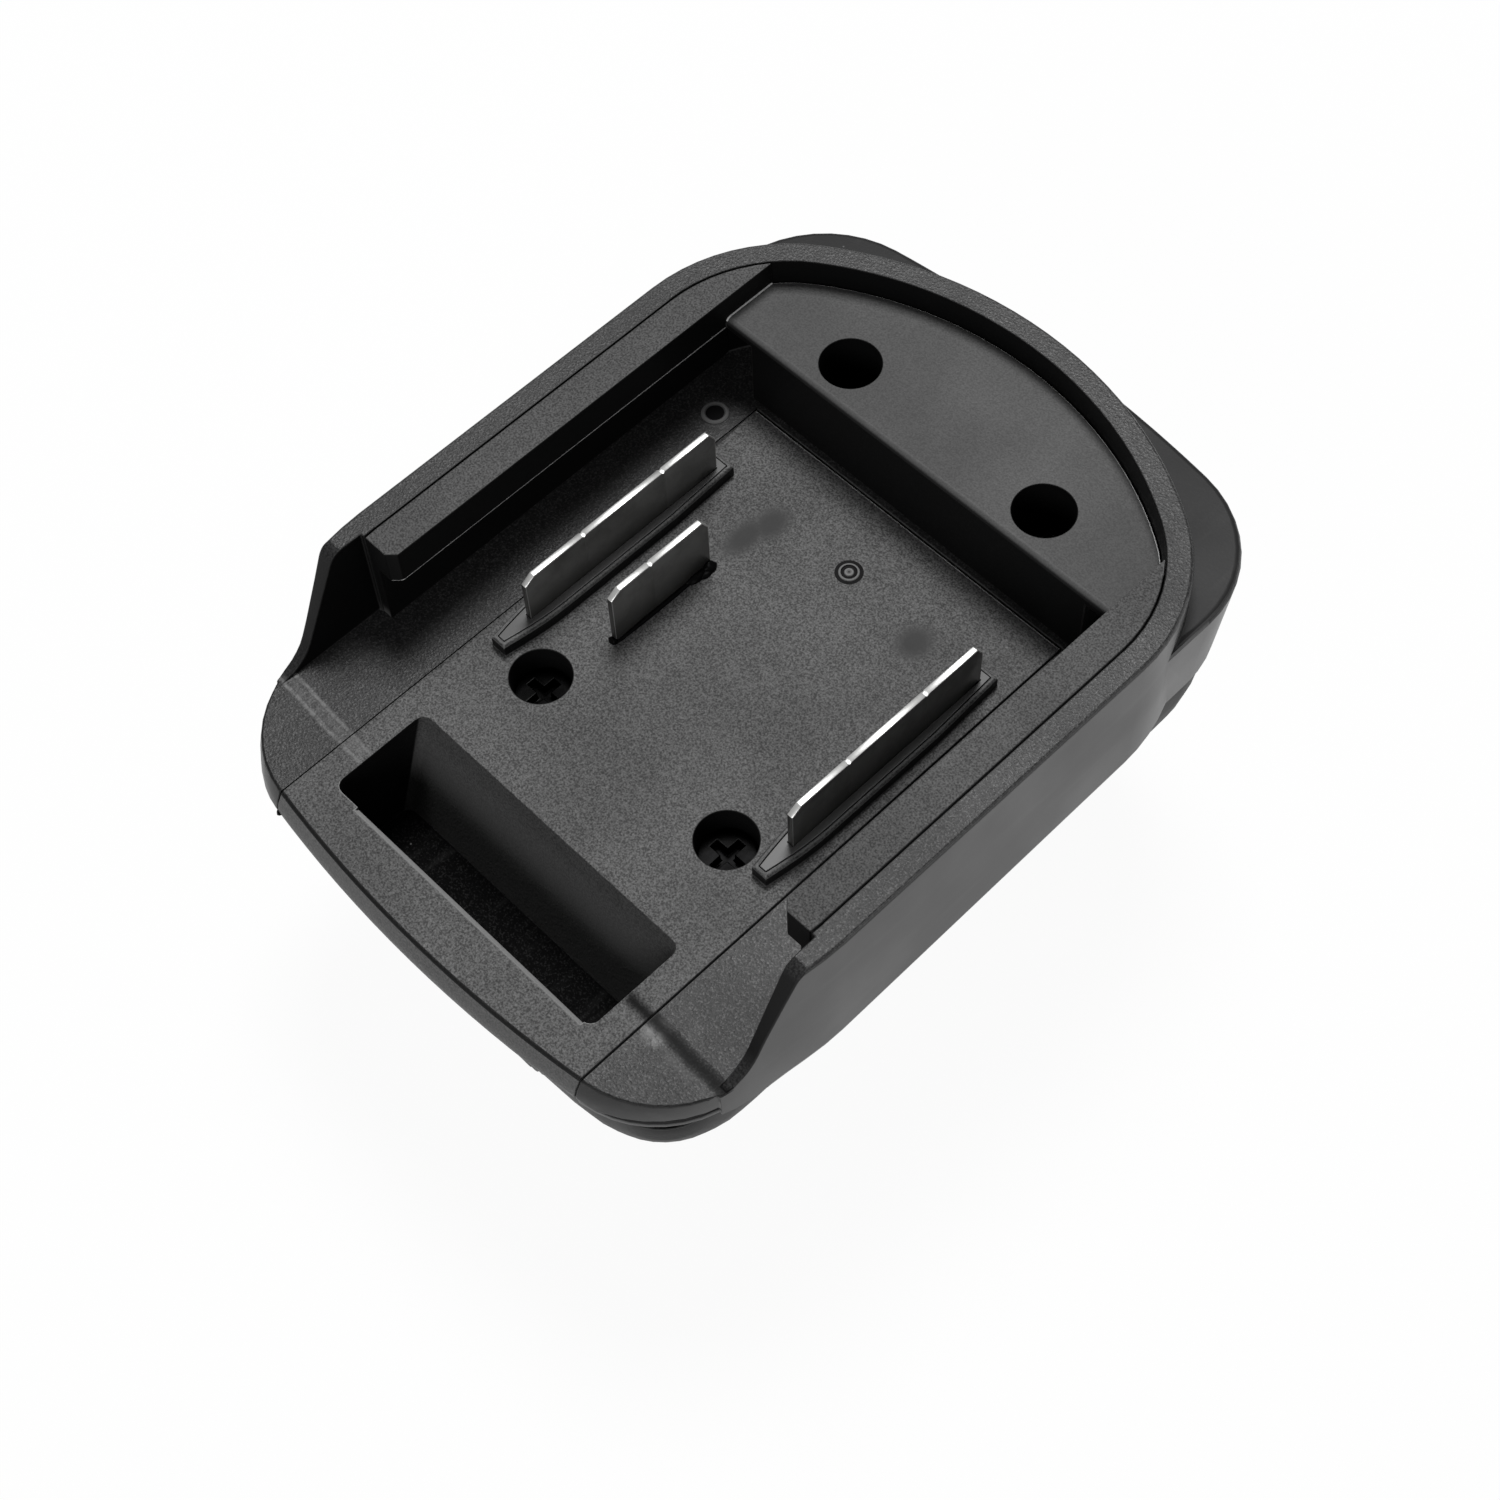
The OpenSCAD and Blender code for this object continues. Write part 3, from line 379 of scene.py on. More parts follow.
def handling():
    """Slow drift of tone and shine from handling, and faint smears along the dock."""
    tree, given, out = start_group("Handling", [("Seed", 0)], ["Drift", "Smear"])
    slow = cloud(tree, place_mm(tree), 0.06, 3.0, seed=given["Seed"])
    streak = cloud(tree, place_mm(tree, (0.5, 0.06, 0.5)), 1.0, 4.0, seed=given["Seed"])
    send(tree, out, Drift=ramp(tree, slow, 0.3, 0.7), Smear=ramp(tree, streak, 0.52, 0.75))
    return tree


def specks():
    """Sparse pale motes of dust and mould release."""
    tree, given, out = start_group("Specks", [("Spread", 3.0), ("Size", 0.1)], ["Mask"])
    per_cell = maths(tree, "DIVIDE", 1.0, given["Spread"])
    cells = put(tree, "TexVoronoi", {"Vector": place_mm(tree), "Scale": per_cell})
    spot = times(tree, cells.outputs["Distance"], given["Spread"])
    pick = put(tree, "SeparateColor", {0: cells.outputs["Color"]}).outputs[0]
    reach = times(tree, given["Size"], plus(tree, pick, 0.3))
    core = times(tree, reach, 0.5)
    near = put(tree, "MapRange", {0: spot, 1: reach, 2: core, 3: 0.0, 4: 1.0}).outputs[0]
    send(tree, out, Mask=times(tree, near, ramp(tree, pick, 0.55, 0.7)))
    return tree


def flow_line():
    """Crease and rubbed lines that cross the dock floor in front of the wall ends, with a painted sheen beside
    the crease.
    """
    tree, given, out = start_group("Flow Line", [("Place", CREASE_Y + DOCK_SHIFT), ("Width", 1.15)],
                                   ["Crease", "Rub"])
    axes = axes_mm(tree)
    sway = cloud(tree, place_mm(tree, (1, 0, 1)), 0.2, 2.0)
    off = minus(tree, minus(tree, axes[1], given["Place"]), times(tree, minus(tree, sway, 0.5), 0.7))
    off = plus(tree, off, times(tree, minus(tree, axes[0], CREASE_X), CREASE_SLOPE))
    level = ramp(tree, unsigned(tree, minus(tree, axes[2], DOCK_FLOOR)), 0.3, 0.1)
    seen = times(tree, level, ramp(tree, unsigned(tree, axes[0]), POCKET_SIDE, POCKET_SIDE + 0.8))
    right = ramp(tree, axes[0], -2.0, 2.0)
    left = minus(tree, 1.0, right)
    torn = ramp(tree, cloud(tree, place_mm(tree), 1.1, 4.0, 0.75), 0.36, 0.6, 0.25, 1.0)

    def stripe(middle, reach):
        return ramp(tree, unsigned(tree, minus(tree, off, middle)), reach, 0.05)

    dip = times(tree, stripe(0.0, given["Width"]), right)
    # A pale band beside the crease: painted sheen
    shine = times(tree, times(tree, stripe(-1.5, 1.1), right), 0.2)
    pair = most(tree, stripe(-1.9, 0.4), times(tree, stripe(-2.7, 1.2), 0.4))
    pair = times(tree, most(tree, stripe(-3.5, 0.45), pair), left)
    scuff = ramp(tree, length(tree, off_spot(tree, *SCUFF_SPOT)), 2.2, 0.6)
    rub_and_highlight = times(tree, plus(tree, plus(tree, shine, pair), scuff), torn, clamp=True)
    send(tree, out, Crease=times(tree, dip, seen), Rub=times(tree, rub_and_highlight, seen))
    return tree


def drawn_metal():
    """Rolled sheet or drawn wire: lines along the length, tarnish and small pits."""
    tree, given, out = start_group("Drawn Metal", [("Across", 6.0), ("Along", 0.25)],
                                   ["Lines", "Tarnish", "Pits"])
    stretch = put(tree, "CombineXYZ", {0: given["Across"], 1: given["Along"], 2: given["Across"]}).outputs[0]
    lines = cloud(tree, vector(tree, "MULTIPLY", place_mm(tree), stretch), 1.0, 3.0, 0.65)
    patches = cloud(tree, place_mm(tree), 0.35, 4.0, 0.6)
    pits = cloud(tree, place_mm(tree), 4.0, 2.0)
    send(tree, out, Lines=lines, Tarnish=ramp(tree, patches, 0.38, 0.66), Pits=ramp(tree, pits, 0.62, 0.75))
    return tree


GROUP_MAKERS = {"Facing": facing, "Spark Grain": spark_grain, "Handling": handling, "Specks": specks,
                "Flow Line": flow_line, "Drawn Metal": drawn_metal}


def group(tree, name, **values):
    """One of the shared effects, placed in a material with its own values."""
    if name not in bpy.data.node_groups:
        GROUP_MAKERS[name]()
    made = tree.nodes.new("ShaderNodeGroup")
    made.node_tree = bpy.data.node_groups[name]
    for key, value in values.items():
        feed(tree, made.inputs[key], value)
    return made.outputs


def start_material(name, **principled):
    """New material with a Principled shader; returns the material, its tree and the shader."""
    made = bpy.data.materials.new(name)
    made.use_nodes = True
    tree = made.node_tree
    shader = tree.nodes["Principled BSDF"]
    for key, value in principled.items():
        shader.inputs[key.replace("_", " ")].default_value = value
    return made, tree, shader


def wire_up(tree, shader, colour, roughness, height, distance):
    """Feeds the shader's colour and roughness, and a bump with its depth in millimetres."""
    bump = put(tree, "Bump", {"Height": height, "Distance": distance * MM, "Strength": 1.0})
    for key, value in (("Base Color", colour), ("Roughness", roughness), ("Normal", bump.outputs[0])):
        tree.links.new(value, shader.inputs[key])


def edge_mask(tree):
    """Mark on the rounded edges: above zero rubbed pale and painted highlight, below zero painted shade."""
    mark = put(tree, "Attribute", attribute_name="edge", attribute_type="GEOMETRY").outputs["Fac"]
    return most(tree, mark, 0.0), most(tree, times(tree, mark, -1.0), 0.0)


def dull_patches(tree, marks):
    """Mask of dull spots on the floor, each with its place, width and length; None without marks."""
    dull = None
    for x, y, wide, long in marks:
        shaped = vector(tree, "MULTIPLY", off_spot(tree, x, y), (1 / wide, 1 / long, 0))
        spot = ramp(tree, length(tree, shaped), 1.5, 0.35)
        dull = spot if dull is None else most(tree, dull, spot)
    return dull


def shoulder_step(tree, look):
    """Mask of the upper faces between the dock floor and the top of the shelf."""
    step = times(tree, ramp(tree, look["Level"], DOCK_FLOOR + 1.5, DOCK_FLOOR + 3),
                 ramp(tree, look["Level"], DOCK_FLOOR + 12, DOCK_FLOOR + 10.5))
    return times(tree, step, look["Up"])


def painted_well_shade(tree, y):
    """Mask of the painted shade inside the two screw wells at one place along the dock."""
    axes = axes_mm(tree)
    off = put(tree, "CombineXYZ", {0: minus(tree, unsigned(tree, axes[0]), WELL_X),
                                   1: minus(tree, axes[1], y + DOCK_SHIFT)}).outputs[0]
    return ramp(tree, length(tree, off), WELL_EDGE, WELL_EDGE - 0.08)


def moulded_plastic(name, tone, seed, wall_grain, shine, specular, marks=(), shoulder=0.0, pocket=None,
                    well=None, crest=0.5, grit=0.85):
    """Charcoal moulding: spark-eroded upper faces, smoother walls, edges rubbed pale and painted with
    highlights, glints and dark lines of shade, painted shade on inward and forward walls, handling and dust.

    It may have dull patches (marks), a darker shoulder, a pocket with painted light on its rear wall, whose
    foot is at the given place along the dock, and painted shade on its bottom, and painted shade in two screw
    wells.
    """
    finish = bpy.context.scene.adapter_finish
    deep, rub_and_highlight = finish.deep_and_shade_tone, finish.rub_and_highlight_tone
    made, tree, shader = start_material(name, IOR=1.5, Specular_IOR_Level=specular)
    look = group(tree, "Facing")
    wall = minus(tree, 1.0, look["Up"])
    rough_part = times(tree, plus(tree, look["Up"], times(tree, wall, wall_grain)), grit)
    # Painted shade on walls that face inwards, or forwards above the floor
    shade = times(tree, wall, most(tree, look["Inward"], look["Forward"]))
    worn = group(tree, "Handling", Seed=seed)
    dull = shoulder_step(tree, look) if shoulder else dull_patches(tree, marks)
    if dull is not None:
        rough_part = times(tree, rough_part, minus(tree, 1.0, times(tree, dull, 0.92)))
    grain = group(tree, "Spark Grain", Size=finish.grain_size, Amount=rough_part)
    line = group(tree, "Flow Line")
    dust = group(tree, "Specks", Spread=4.0, Size=0.13)["Mask"]
    pale, dark = edge_mask(tree)
    colour = blend(tree, times(tree, grain["Pits"], 0.8), tone, deep)
    colour = blend(tree, times(tree, grain["Crests"], crest), colour, rub_and_highlight)
    colour = blend(tree, times(tree, worn["Drift"], 0.18), colour, deep)
    colour = blend(tree, times(tree, worn["Smear"], 0.06), colour, rub_and_highlight)
    # Painted light on the pocket's rear wall near its foot, and painted shade on the pocket's bottom
    if pocket is not None:
        foot = pocket + DOCK_SHIFT
        depth = ramp(tree, look["Level"], DOCK_FLOOR - 1, DOCK_FLOOR - 10)
        near = ramp(tree, axes_mm(tree)[1], foot - 1.6, foot)
        pocket_painted_light = times(tree, times(tree, depth, near), minus(tree, 1.0, look["Inward"]))
        colour = blend(tree, times(tree, pocket_painted_light, 0.75), colour, rub_and_highlight)
        bottom = times(tree, times(tree, depth, look["Up"]), minus(tree, 1.0, near))
        shade = most(tree, shade, bottom)
    # Painted shade inside the screw wells; all painted shade blends to the darkest tone
    if well is not None:
        shade = most(tree, shade, painted_well_shade(tree, well))
    colour = blend(tree, times(tree, shade, 0.96), colour, deep)
    # Rubbed streaks of the flow line, with a painted sheen beside its crease, then painted shade in the crease
    colour = blend(tree, times(tree, line["Rub"], 0.7), colour, rub_and_highlight)
    colour = blend(tree, times(tree, line["Crease"], 0.95), colour, deep)
    if dull is not None:
        colour = blend(tree, times(tree, dull, shoulder or 0.55), colour, deep)
    # Edges: rubbed pale, partly painted highlight; a painted glint on the highest marks; painted shade on the
    # dark marks
    rubbed = times(tree, pale, plus(tree, times(tree, worn["Drift"], 0.2), 0.16), clamp=True)
    colour = blend(tree, rubbed, colour, rub_and_highlight)
    colour = blend(tree, ramp(tree, pale, 1.6, 2.6), colour, finish.painted_glint_tone)
    colour = blend(tree, dark, colour, deep)
    colour = blend(tree, times(tree, dust, 0.7), colour, rub_and_highlight)
    rough = plus(tree, times(tree, rough_part, 0.16), shine)
    rough = plus(tree, rough, times(tree, minus(tree, worn["Drift"], 0.5), 0.08))
    if marks:
        rough = plus(tree, rough, times(tree, dull, 0.2))
    rough = plus(tree, rough, times(tree, line["Crease"], 0.3))
    rough = minus(tree, rough, times(tree, grain["Crests"], 0.1), clamp=True)
    height = minus(tree, grain["Height"], times(tree, line["Crease"], 2.0))
    wire_up(tree, shader, colour, rough, height, 0.12)
    return made


def plain_plastic(name, tone, seed, shine, specular=0.25):
    """Smooth dark moulding with faint drift and dust."""
    finish = bpy.context.scene.adapter_finish
    made, tree, shader = start_material(name, IOR=1.5, Specular_IOR_Level=specular)
    worn = group(tree, "Handling", Seed=seed)
    grain = group(tree, "Spark Grain", Size=finish.grain_size * 1.6, Amount=0.35)
    dust = group(tree, "Specks", Spread=4.0, Size=0.1)["Mask"]
    pale, dark = edge_mask(tree)
    colour = blend(tree, times(tree, worn["Drift"], 0.3), tone, finish.deep_and_shade_tone)
    # Edge marks: rubbed pale with painted highlight, and painted shade on the dark marks
    colour = blend(tree, times(tree, pale, 0.45, clamp=True), colour, finish.rub_and_highlight_tone)
    colour = blend(tree, dark, colour, finish.deep_and_shade_tone)
    colour = blend(tree, times(tree, dust, 0.4), colour, finish.rub_and_highlight_tone)
    rough = plus(tree, times(tree, worn["Smear"], 0.1), shine)
    wire_up(tree, shader, colour, rough, grain["Height"], 0.012)
    return made


def sheet_metal(name, bright, dark, polish, shine, across, along, metallic=1.0, foot=None, torn=0.0):
    """Rolled or plated metal: lines along its length, patchy tarnish, polished edges, and painted shade darker
    to its foot.

    foot is the pair of heights between which the painted shade comes in, torn how much the tarnish breaks the
    polish.
    """
    made, tree, shader = start_material(name, Metallic=metallic)
    metal = group(tree, "Drawn Metal", Across=across, Along=along)
    pale, dark_edge = edge_mask(tree)
    colour = blend(tree, times(tree, metal["Tarnish"], 0.35), bright, dark)
    colour = blend(tree, times(tree, metal["Pits"], 0.3), colour, dark)
    # Painted shade, darker towards the foot
    if foot:
        colour = blend(tree, ramp(tree, axes_mm(tree)[2], foot[1], foot[0], 0.0, 0.8), colour, dark)
    worn = minus(tree, 1.0, times(tree, metal["Tarnish"], torn))
    colour = blend(tree, times(tree, times(tree, pale, 0.9), worn, clamp=True), colour, polish)
    colour = blend(tree, dark_edge, colour, dimmed(dark, 0.25))
    rough = plus(tree, times(tree, metal["Lines"], 0.12), shine)
    wire_up(tree, shader, colour, rough, metal["Lines"], 0.004)
    return made


# Meshes


def link(name, mesh, material, body):
    """New piece on a body, with its material."""
    piece = bpy.data.objects.new(name, mesh)
    bpy.context.scene.collection.objects.link(piece)
    mesh.materials.clear()
    mesh.materials.append(material)
    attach(piece, body)
    return piece


def finish_mesh(bm, angle=40):
    """Mesh with smooth rounds, and crisp edges above an angle in degrees."""
    mesh = bpy.data.meshes.new("moulding")
    bmesh.ops.remove_doubles(bm, verts=bm.verts, dist=WELD)
    bmesh.ops.dissolve_degenerate(bm, edges=bm.edges, dist=WELD)
    bmesh.ops.recalc_face_normals(bm, faces=bm.faces)
    bm.to_mesh(mesh)
    bm.free()
    mesh.shade_smooth()
    mesh.set_sharp_from_angle(angle=math.radians(angle))
    return mesh


def solid_copy(node):
    """The node's solid with its flat faces made whole."""
    bm = bmesh.new()
    bm.from_mesh(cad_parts[node].data)
    bmesh.ops.remove_doubles(bm, verts=bm.verts, dist=1e-6)
    bmesh.ops.dissolve_limit(bm, angle_limit=math.radians(0.6), verts=bm.verts, edges=bm.edges)
    return bm


def round_edges(bm, width, segments=2, pick=None, mark=1.0):
    """Rounds the sharp edges that pick accepts and marks the rounds; mark may be a function of the place.

    A corner that a round has thrown off the old surface is put back on it.
    """
    skin = BVHTree.FromBMesh(bm)
    layer = bm.faces.layers.float.get("edge") or bm.faces.layers.float.new("edge")
    edges = [e for e in bm.edges if len(e.link_faces) == 2 and e.calc_face_angle(0) > SHARP
             and (pick is None or pick(e))]
    made = bmesh.ops.bevel(bm, geom=edges, offset=width, segments=segments, profile=0.5, affect="EDGES",
                           clamp_overlap=False, loop_slide=True)
    for face in made["faces"]:
        face[layer] = mark(face.calc_center_median()) if callable(mark) else mark
    for v in bm.verts:
        near = skin.find_nearest(v.co)
        if near[0] is not None and near[3] > 0.45 * width:
            v.co = near[0]


def ends_pass(edge, test):
    """Whether both ends of an edge pass a test of their place in the dock."""
    return all(test(*dock_mm(v.co)) for v in edge.verts)


def left_seam(edge):
    """Whether an edge lies on the close left seam of the dock floor, which stays sharp."""
    return ends_pass(edge, lambda x, y, z: -26 < x < -22.5 and abs(z) < FLAT)


def moulding(node, name, material, width, body="adapter", mark=1.0, softer=()):
    """A moulded piece in place of the node: its form with rounded edges and even shading.

    softer lists wider rounds, made first, each with its width, the edges it takes and their mark.
    """
    bm = solid_copy(node)
    for wide, pick, tint in softer:
        round_edges(bm, wide, 3, pick, tint)
    round_edges(bm, width, pick=lambda edge: not left_seam(edge), mark=mark)
    piece = link(name, finish_mesh(bm), material, body)
    even = piece.modifiers.new("Even shading", "WEIGHTED_NORMAL")
    even.keep_sharp = True
    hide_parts(node)
    return piece


def lathe(profile, marks, sides):
    """Turned form of (radius, height) points about Z, closed at the bottom, with a mark for each band."""
    bm = bmesh.new()
    layer = bm.faces.layers.float.new("edge")
    turns = [2 * math.pi * k / sides for k in range(sides)]
    rings = [[bm.verts.new((r * math.cos(a), r * math.sin(a), z)) for a in turns] if r > 0
             else [bm.verts.new((0, 0, z))] for r, z in profile]
    for low, high, mark in zip(rings, rings[1:], marks):
        for k in range(sides):
            corners = (low[k % len(low)], low[(k + 1) % len(low)],
                       high[(k + 1) % len(high)], high[k % len(high)])
            bm.faces.new([v for i, v in enumerate(corners) if v not in corners[:i]])[layer] = mark
    bm.faces.new(reversed(rings[0]))
    return bm


# Operators
# Marks on edges: below zero painted shade, up to about 1.6 rubbed pale and painted highlight, a painted glint
# above that.


def shell_line(spot):
    """Mark of the shell's edges: painted shade along the front edge and fainter along the seams, rubbed pale
    with painted highlight elsewhere.
    """
    x, y, z = dock_mm(spot)
    if y < -20 and z > -0.8:
        return -0.85
    if z < -2.5 and y < -15:
        return -0.6
    if z > RIM_SIDE and abs(x) < 34.8:
        return -0.3
    return 0.2 if y < WALL_ENDS else 0.7


def rail_line(spot):
    """Mark of the rails' edges: painted glints under the lips and round the shelf, painted highlight on the
    lips' top inner edges, painted shade along the rim's seam, in the wells and at the wall ends, rubbed pale
    elsewhere.
    """
    x, y, z = dock_mm(spot)
    if abs(z - LIP_UNDER) < 0.5 and 29 < abs(x) < 31 and y < 44:
        return PAINTED_LIP_GLINT
    if abs(x) < 20 and abs(y - REAR_WELLS) < 4.4:
        return -0.3
    if 10.8 < z < 11.4:
        return 2.3 if y > 46 or abs(x) > 28 else 0.5
    if z > 14 and abs(x) > 31.5:
        return -0.4
    if z > 14 and abs(x) > 29 and y > 44:
        return 1.5
    return -0.9 if y < WALL_ENDS and z < 14 else 0.3


def panel_line(spot):
    """Mark of the panel's edges: painted shade at front and seams, painted highlight at the rear, collars and
    pocket's lip.
    """
    x, y, z = dock_mm(spot)
    if y < -29 and z > -0.8:
        return -0.85
    if z < -5:
        return -0.9
    if abs(x) > 23.5:
        return -0.4
    if y > PANEL_REAR and z > -0.5:
        return 2.4
    if y < POCKET_LIP and abs(x) < 20 and z > -1.2:
        return 1.6
    if z > 1 and abs(x) > 18:
        return 1.3
    return 0.25


class AdapterShell(bpy.types.Operator):
    """Outer shell with its rim, walls, floor strips and shoulder"""
    bl_idname = "adapter.shell"
    bl_label = "Outer shell"

    def execute(self, context):
        finish, form = context.scene.adapter_finish, context.scene.adapter_form
        skin = moulded_plastic("shell_skin", finish.shell_tone, 2.0, 0.05, 0.36, 0.3, shoulder=0.6, crest=0.36,
                               grit=0.75)
        # A shaded copy of the shell's material, with less reflection and fewer pale crests, for faces that
        # stand in shade
        smooth = moulded_plastic("shell_shaded_skin", finish.shell_tone, 3.0, 0.0, 0.44, 0.12, shoulder=0.1,
                                 crest=0.1)

        def front_edge(edge):
            outside = any(abs(f.normal.x) + abs(f.normal.y) > 0.5
                          and f.normal.x * f.calc_center_median().x >= -1e-4 for f in edge.link_faces)
            return outside and ends_pass(edge, lambda x, y, z: y < SHELL_FRONT and abs(z) < FLAT)

        # A wider round along the front edge, marked dark as a painted shadow line
        piece = moulding("outer_shell", "shell_moulding", skin, form.shell_edge,
                         mark=shell_line, softer=((0.28 * MM, front_edge, -1.0),))
        piece.data.materials.append(smooth)
        # The shaded copy goes on the inner faces, on faces above the floor that face forward, and on the
        # shoulder's top
        for face in piece.data.polygons:
            x, y, z = dock_mm(face.center)
            inner = face.normal.x * x + face.normal.y * (y + DOCK_SHIFT) < -8
            shoulder_top = y > 47 and z < 9.7 and face.normal.z > 0.25
            if shoulder_top or z > 0.1 and (inner or y < -5 and face.normal.y < -0.25):
                face.material_index = 1
        return {"FINISHED"}


class AdapterRails(bpy.types.Operator):
    """Rail frame with its lips, shelf and stop block"""
    bl_idname = "adapter.rails"
    bl_label = "Rail frame"

    def execute(self, context):
        finish, form = context.scene.adapter_finish, context.scene.adapter_form
        skin = moulded_plastic("rail_skin", finish.dock_tone, 5.0, 0.2, 0.42, 0.1, shoulder=0.12,
                               well=REAR_WELLS, crest=0.42, grit=0.7)
        shelf = dock_mm(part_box("rail_frame")[1]).z - SHELF_DROP

        def shelf_edge(edge):
            return ends_pass(edge, lambda x, y, z: abs(z - shelf) < FLAT and abs(y - SHELF_FRONT) < FLAT)

        def lip_edge(edge):
            return ends_pass(edge, lambda x, y, z: abs(z - LIP_UNDER) < 0.2 and 29.4 < abs(x) < 31 and y < 45)

        # The shelf's front round is marked a little pale; the lips' lower inner rounds carry a painted glint
        moulding("rail_frame", "rail_moulding", skin, form.dock_edge, mark=rail_line,
                 softer=((0.75 * MM, shelf_edge, 0.3), (0.3 * MM, lip_edge, PAINTED_LIP_GLINT)))
        return {"FINISHED"}


class AdapterPanel(bpy.types.Operator):
    """Central floor panel with the latch pocket and the collars"""
    bl_idname = "adapter.floor_panel"
    bl_label = "Floor panel"

    def execute(self, context):
        finish, form = context.scene.adapter_finish, context.scene.adapter_form
        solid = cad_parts["terminal_base"].data
        bottom = [f for f in solid.polygons if f.normal.z > 0.9 and dock_mm(f.center).z < POCKET_DEEP
                  and dock_mm(f.center).y < -12]
        foot = max(dock_mm(solid.vertices[i].co).y for f in bottom for i in f.vertices)
        skin = moulded_plastic("panel_skin", finish.dock_tone, 9.0, 0.6, 0.42, 0.2, DULL_SPOTS, pocket=foot,
                               well=FRONT_WELLS)
        # Near-black copy for the pocket's bottom: painted shade
        dark = moulded_plastic("pocket_shade_skin", finish.deep_and_shade_tone, 9.0, 0.6, 0.5, 0.02, crest=0.1)

        def front_edge(edge):
            return ends_pass(edge, lambda x, y, z: y < PANEL_FRONT and abs(z) < FLAT)

        def rear_edge(edge):
            return ends_pass(edge, lambda x, y, z: y > PANEL_REAR and abs(z) < FLAT)

        # Painted shade along the front edge and a painted highlight along the rear edge
        piece = moulding("terminal_base", "panel_moulding", skin, form.dock_edge * 0.8,
                         mark=panel_line, softer=((0.3 * MM, front_edge, -1.0), (0.26 * MM, rear_edge, 2.2)))
        piece.data.materials.append(dark)
        rubbed = piece.data.attributes["edge"].data
        for face in piece.data.polygons:
            x, y, z = dock_mm(face.center)
            # Painted highlight on the pocket's lip, painted shade on the collars' sides, painted light on the
            # front band
            if POCKET_LIP - 1.4 < y < POCKET_LIP and -1 < z < 0 and 0.4 < face.normal.z < 0.95:
                rubbed[face.index].value = 1.85
            elif z > 0.1 and abs(face.normal.z) < 0.3 and abs(x) > 17:
                rubbed[face.index].value = -0.95
            elif y < -28 and -3.4 < z < -0.4 and face.normal.y < -0.4:
                rubbed[face.index].value = 1.1
            elif z < POCKET_DEEP and face.normal.z > 0.7:
                face.material_index = 1
        return {"FINISHED"}


class AdapterCarrier(bpy.types.Operator):
    """Blade carrier seen in the collars, and the plate of the tool contacts"""
    bl_idname = "adapter.carrier"
    bl_label = "Contact carriers"

    def execute(self, context):
        finish, form = context.scene.adapter_finish, context.scene.adapter_form
        skin = plain_plastic("carrier_skin", finish.dock_tone, 3.0, 0.42)
        moulding("terminal_block", "carrier_moulding", skin, form.dock_edge * 0.5)
        moulding("clip_carrier", "clip_plate_moulding", skin, form.dock_edge)
        return {"FINISHED"}


def nick(bm, y, depth):
    """Small notch across the top edge of a blade."""
    top = max(v.co.z for v in bm.verts)
    for cut in (y - NICK_HALF, y, y + NICK_HALF):
        bmesh.ops.bisect_plane(bm, geom=bm.verts[:] + bm.edges[:] + bm.faces[:], plane_co=(0, cut, 0),
                               plane_no=(0, 1, 0))
    for v in bm.verts:
        if abs(v.co.y - y) < 1e-6 and v.co.z > top - 0.3 * MM:
            v.co.z -= depth


class AdapterBlades(bpy.types.Operator):
    """Three plated contact blades with bevelled, nicked edges"""
    bl_idname = "adapter.blades"
    bl_label = "Contact blades"

    def execute(self, context):
        finish, form = context.scene.adapter_finish, context.scene.adapter_form
        plate = sheet_metal("blade_plate", finish.plate_tone, finish.tarnish_tone, PLATE_POLISH, 0.3, 0.6, 5.0,
                            0.85, foot=(DOCK_FLOOR + 1, DOCK_FLOOR + 8.6))
        for node, nicks in BLADE_NICKS.items():
            bm = solid_copy(node)
            round_edges(bm, form.metal_edge)
            layer = bm.faces.layers.float["edge"]
            for face in bm.faces:
                if face.normal.z > 0.5:
                    face[layer] = 1.0
                elif face.normal.y < -0.5:
                    face[layer] = -0.5
            for y in nicks:
                nick(bm, dock(0, y, 0).y, form.nick_depth)
            name = node.replace("_blade", "_contact_blade")
            piece = link(name, finish_mesh(bm, 30), plate, "adapter")
            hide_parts(node)
        return {"FINISHED"}


class AdapterHousing(bpy.types.Operator):
    """Tapered lower housing"""
    bl_idname = "adapter.housing"
    bl_label = "Lower housing"

    def execute(self, context):
        finish, form = context.scene.adapter_finish, context.scene.adapter_form
        # The darker, duller housing tone is painted shade
        tone = dimmed(finish.shell_tone, 0.4)
        skin = moulded_plastic("housing_skin", tone, 6.0, 0.15, 0.45, 0.08, crest=0.12)
        moulding("lower_housing", "housing_moulding", skin, form.shell_edge)
        return {"FINISHED"}


class AdapterFoot(bpy.types.Operator):
    """Railed foot for the tool"""
    bl_idname = "adapter.foot"
    bl_label = "Tool foot"

    def execute(self, context):
        finish, form = context.scene.adapter_finish, context.scene.adapter_form
        skin = moulded_plastic("foot_skin", finish.dock_tone, 8.0, 0.6, 0.4, 0.4)
        moulding("tool_foot", "foot_moulding", skin, form.dock_edge * 1.6)
        return {"FINISHED"}


class AdapterLatch(bpy.types.Operator):
    """Release latch with its hook and thumb button"""
    bl_idname = "adapter.latch"
    bl_label = "Release latch"

    def execute(self, context):
        finish, form = context.scene.adapter_finish, context.scene.adapter_form
        skin = plain_plastic("latch_skin", finish.dock_tone, 4.0, 0.38)
        moulding("release_latch", "latch_moulding", skin, form.dock_edge * 0.8, body="latch")
        return {"FINISHED"}


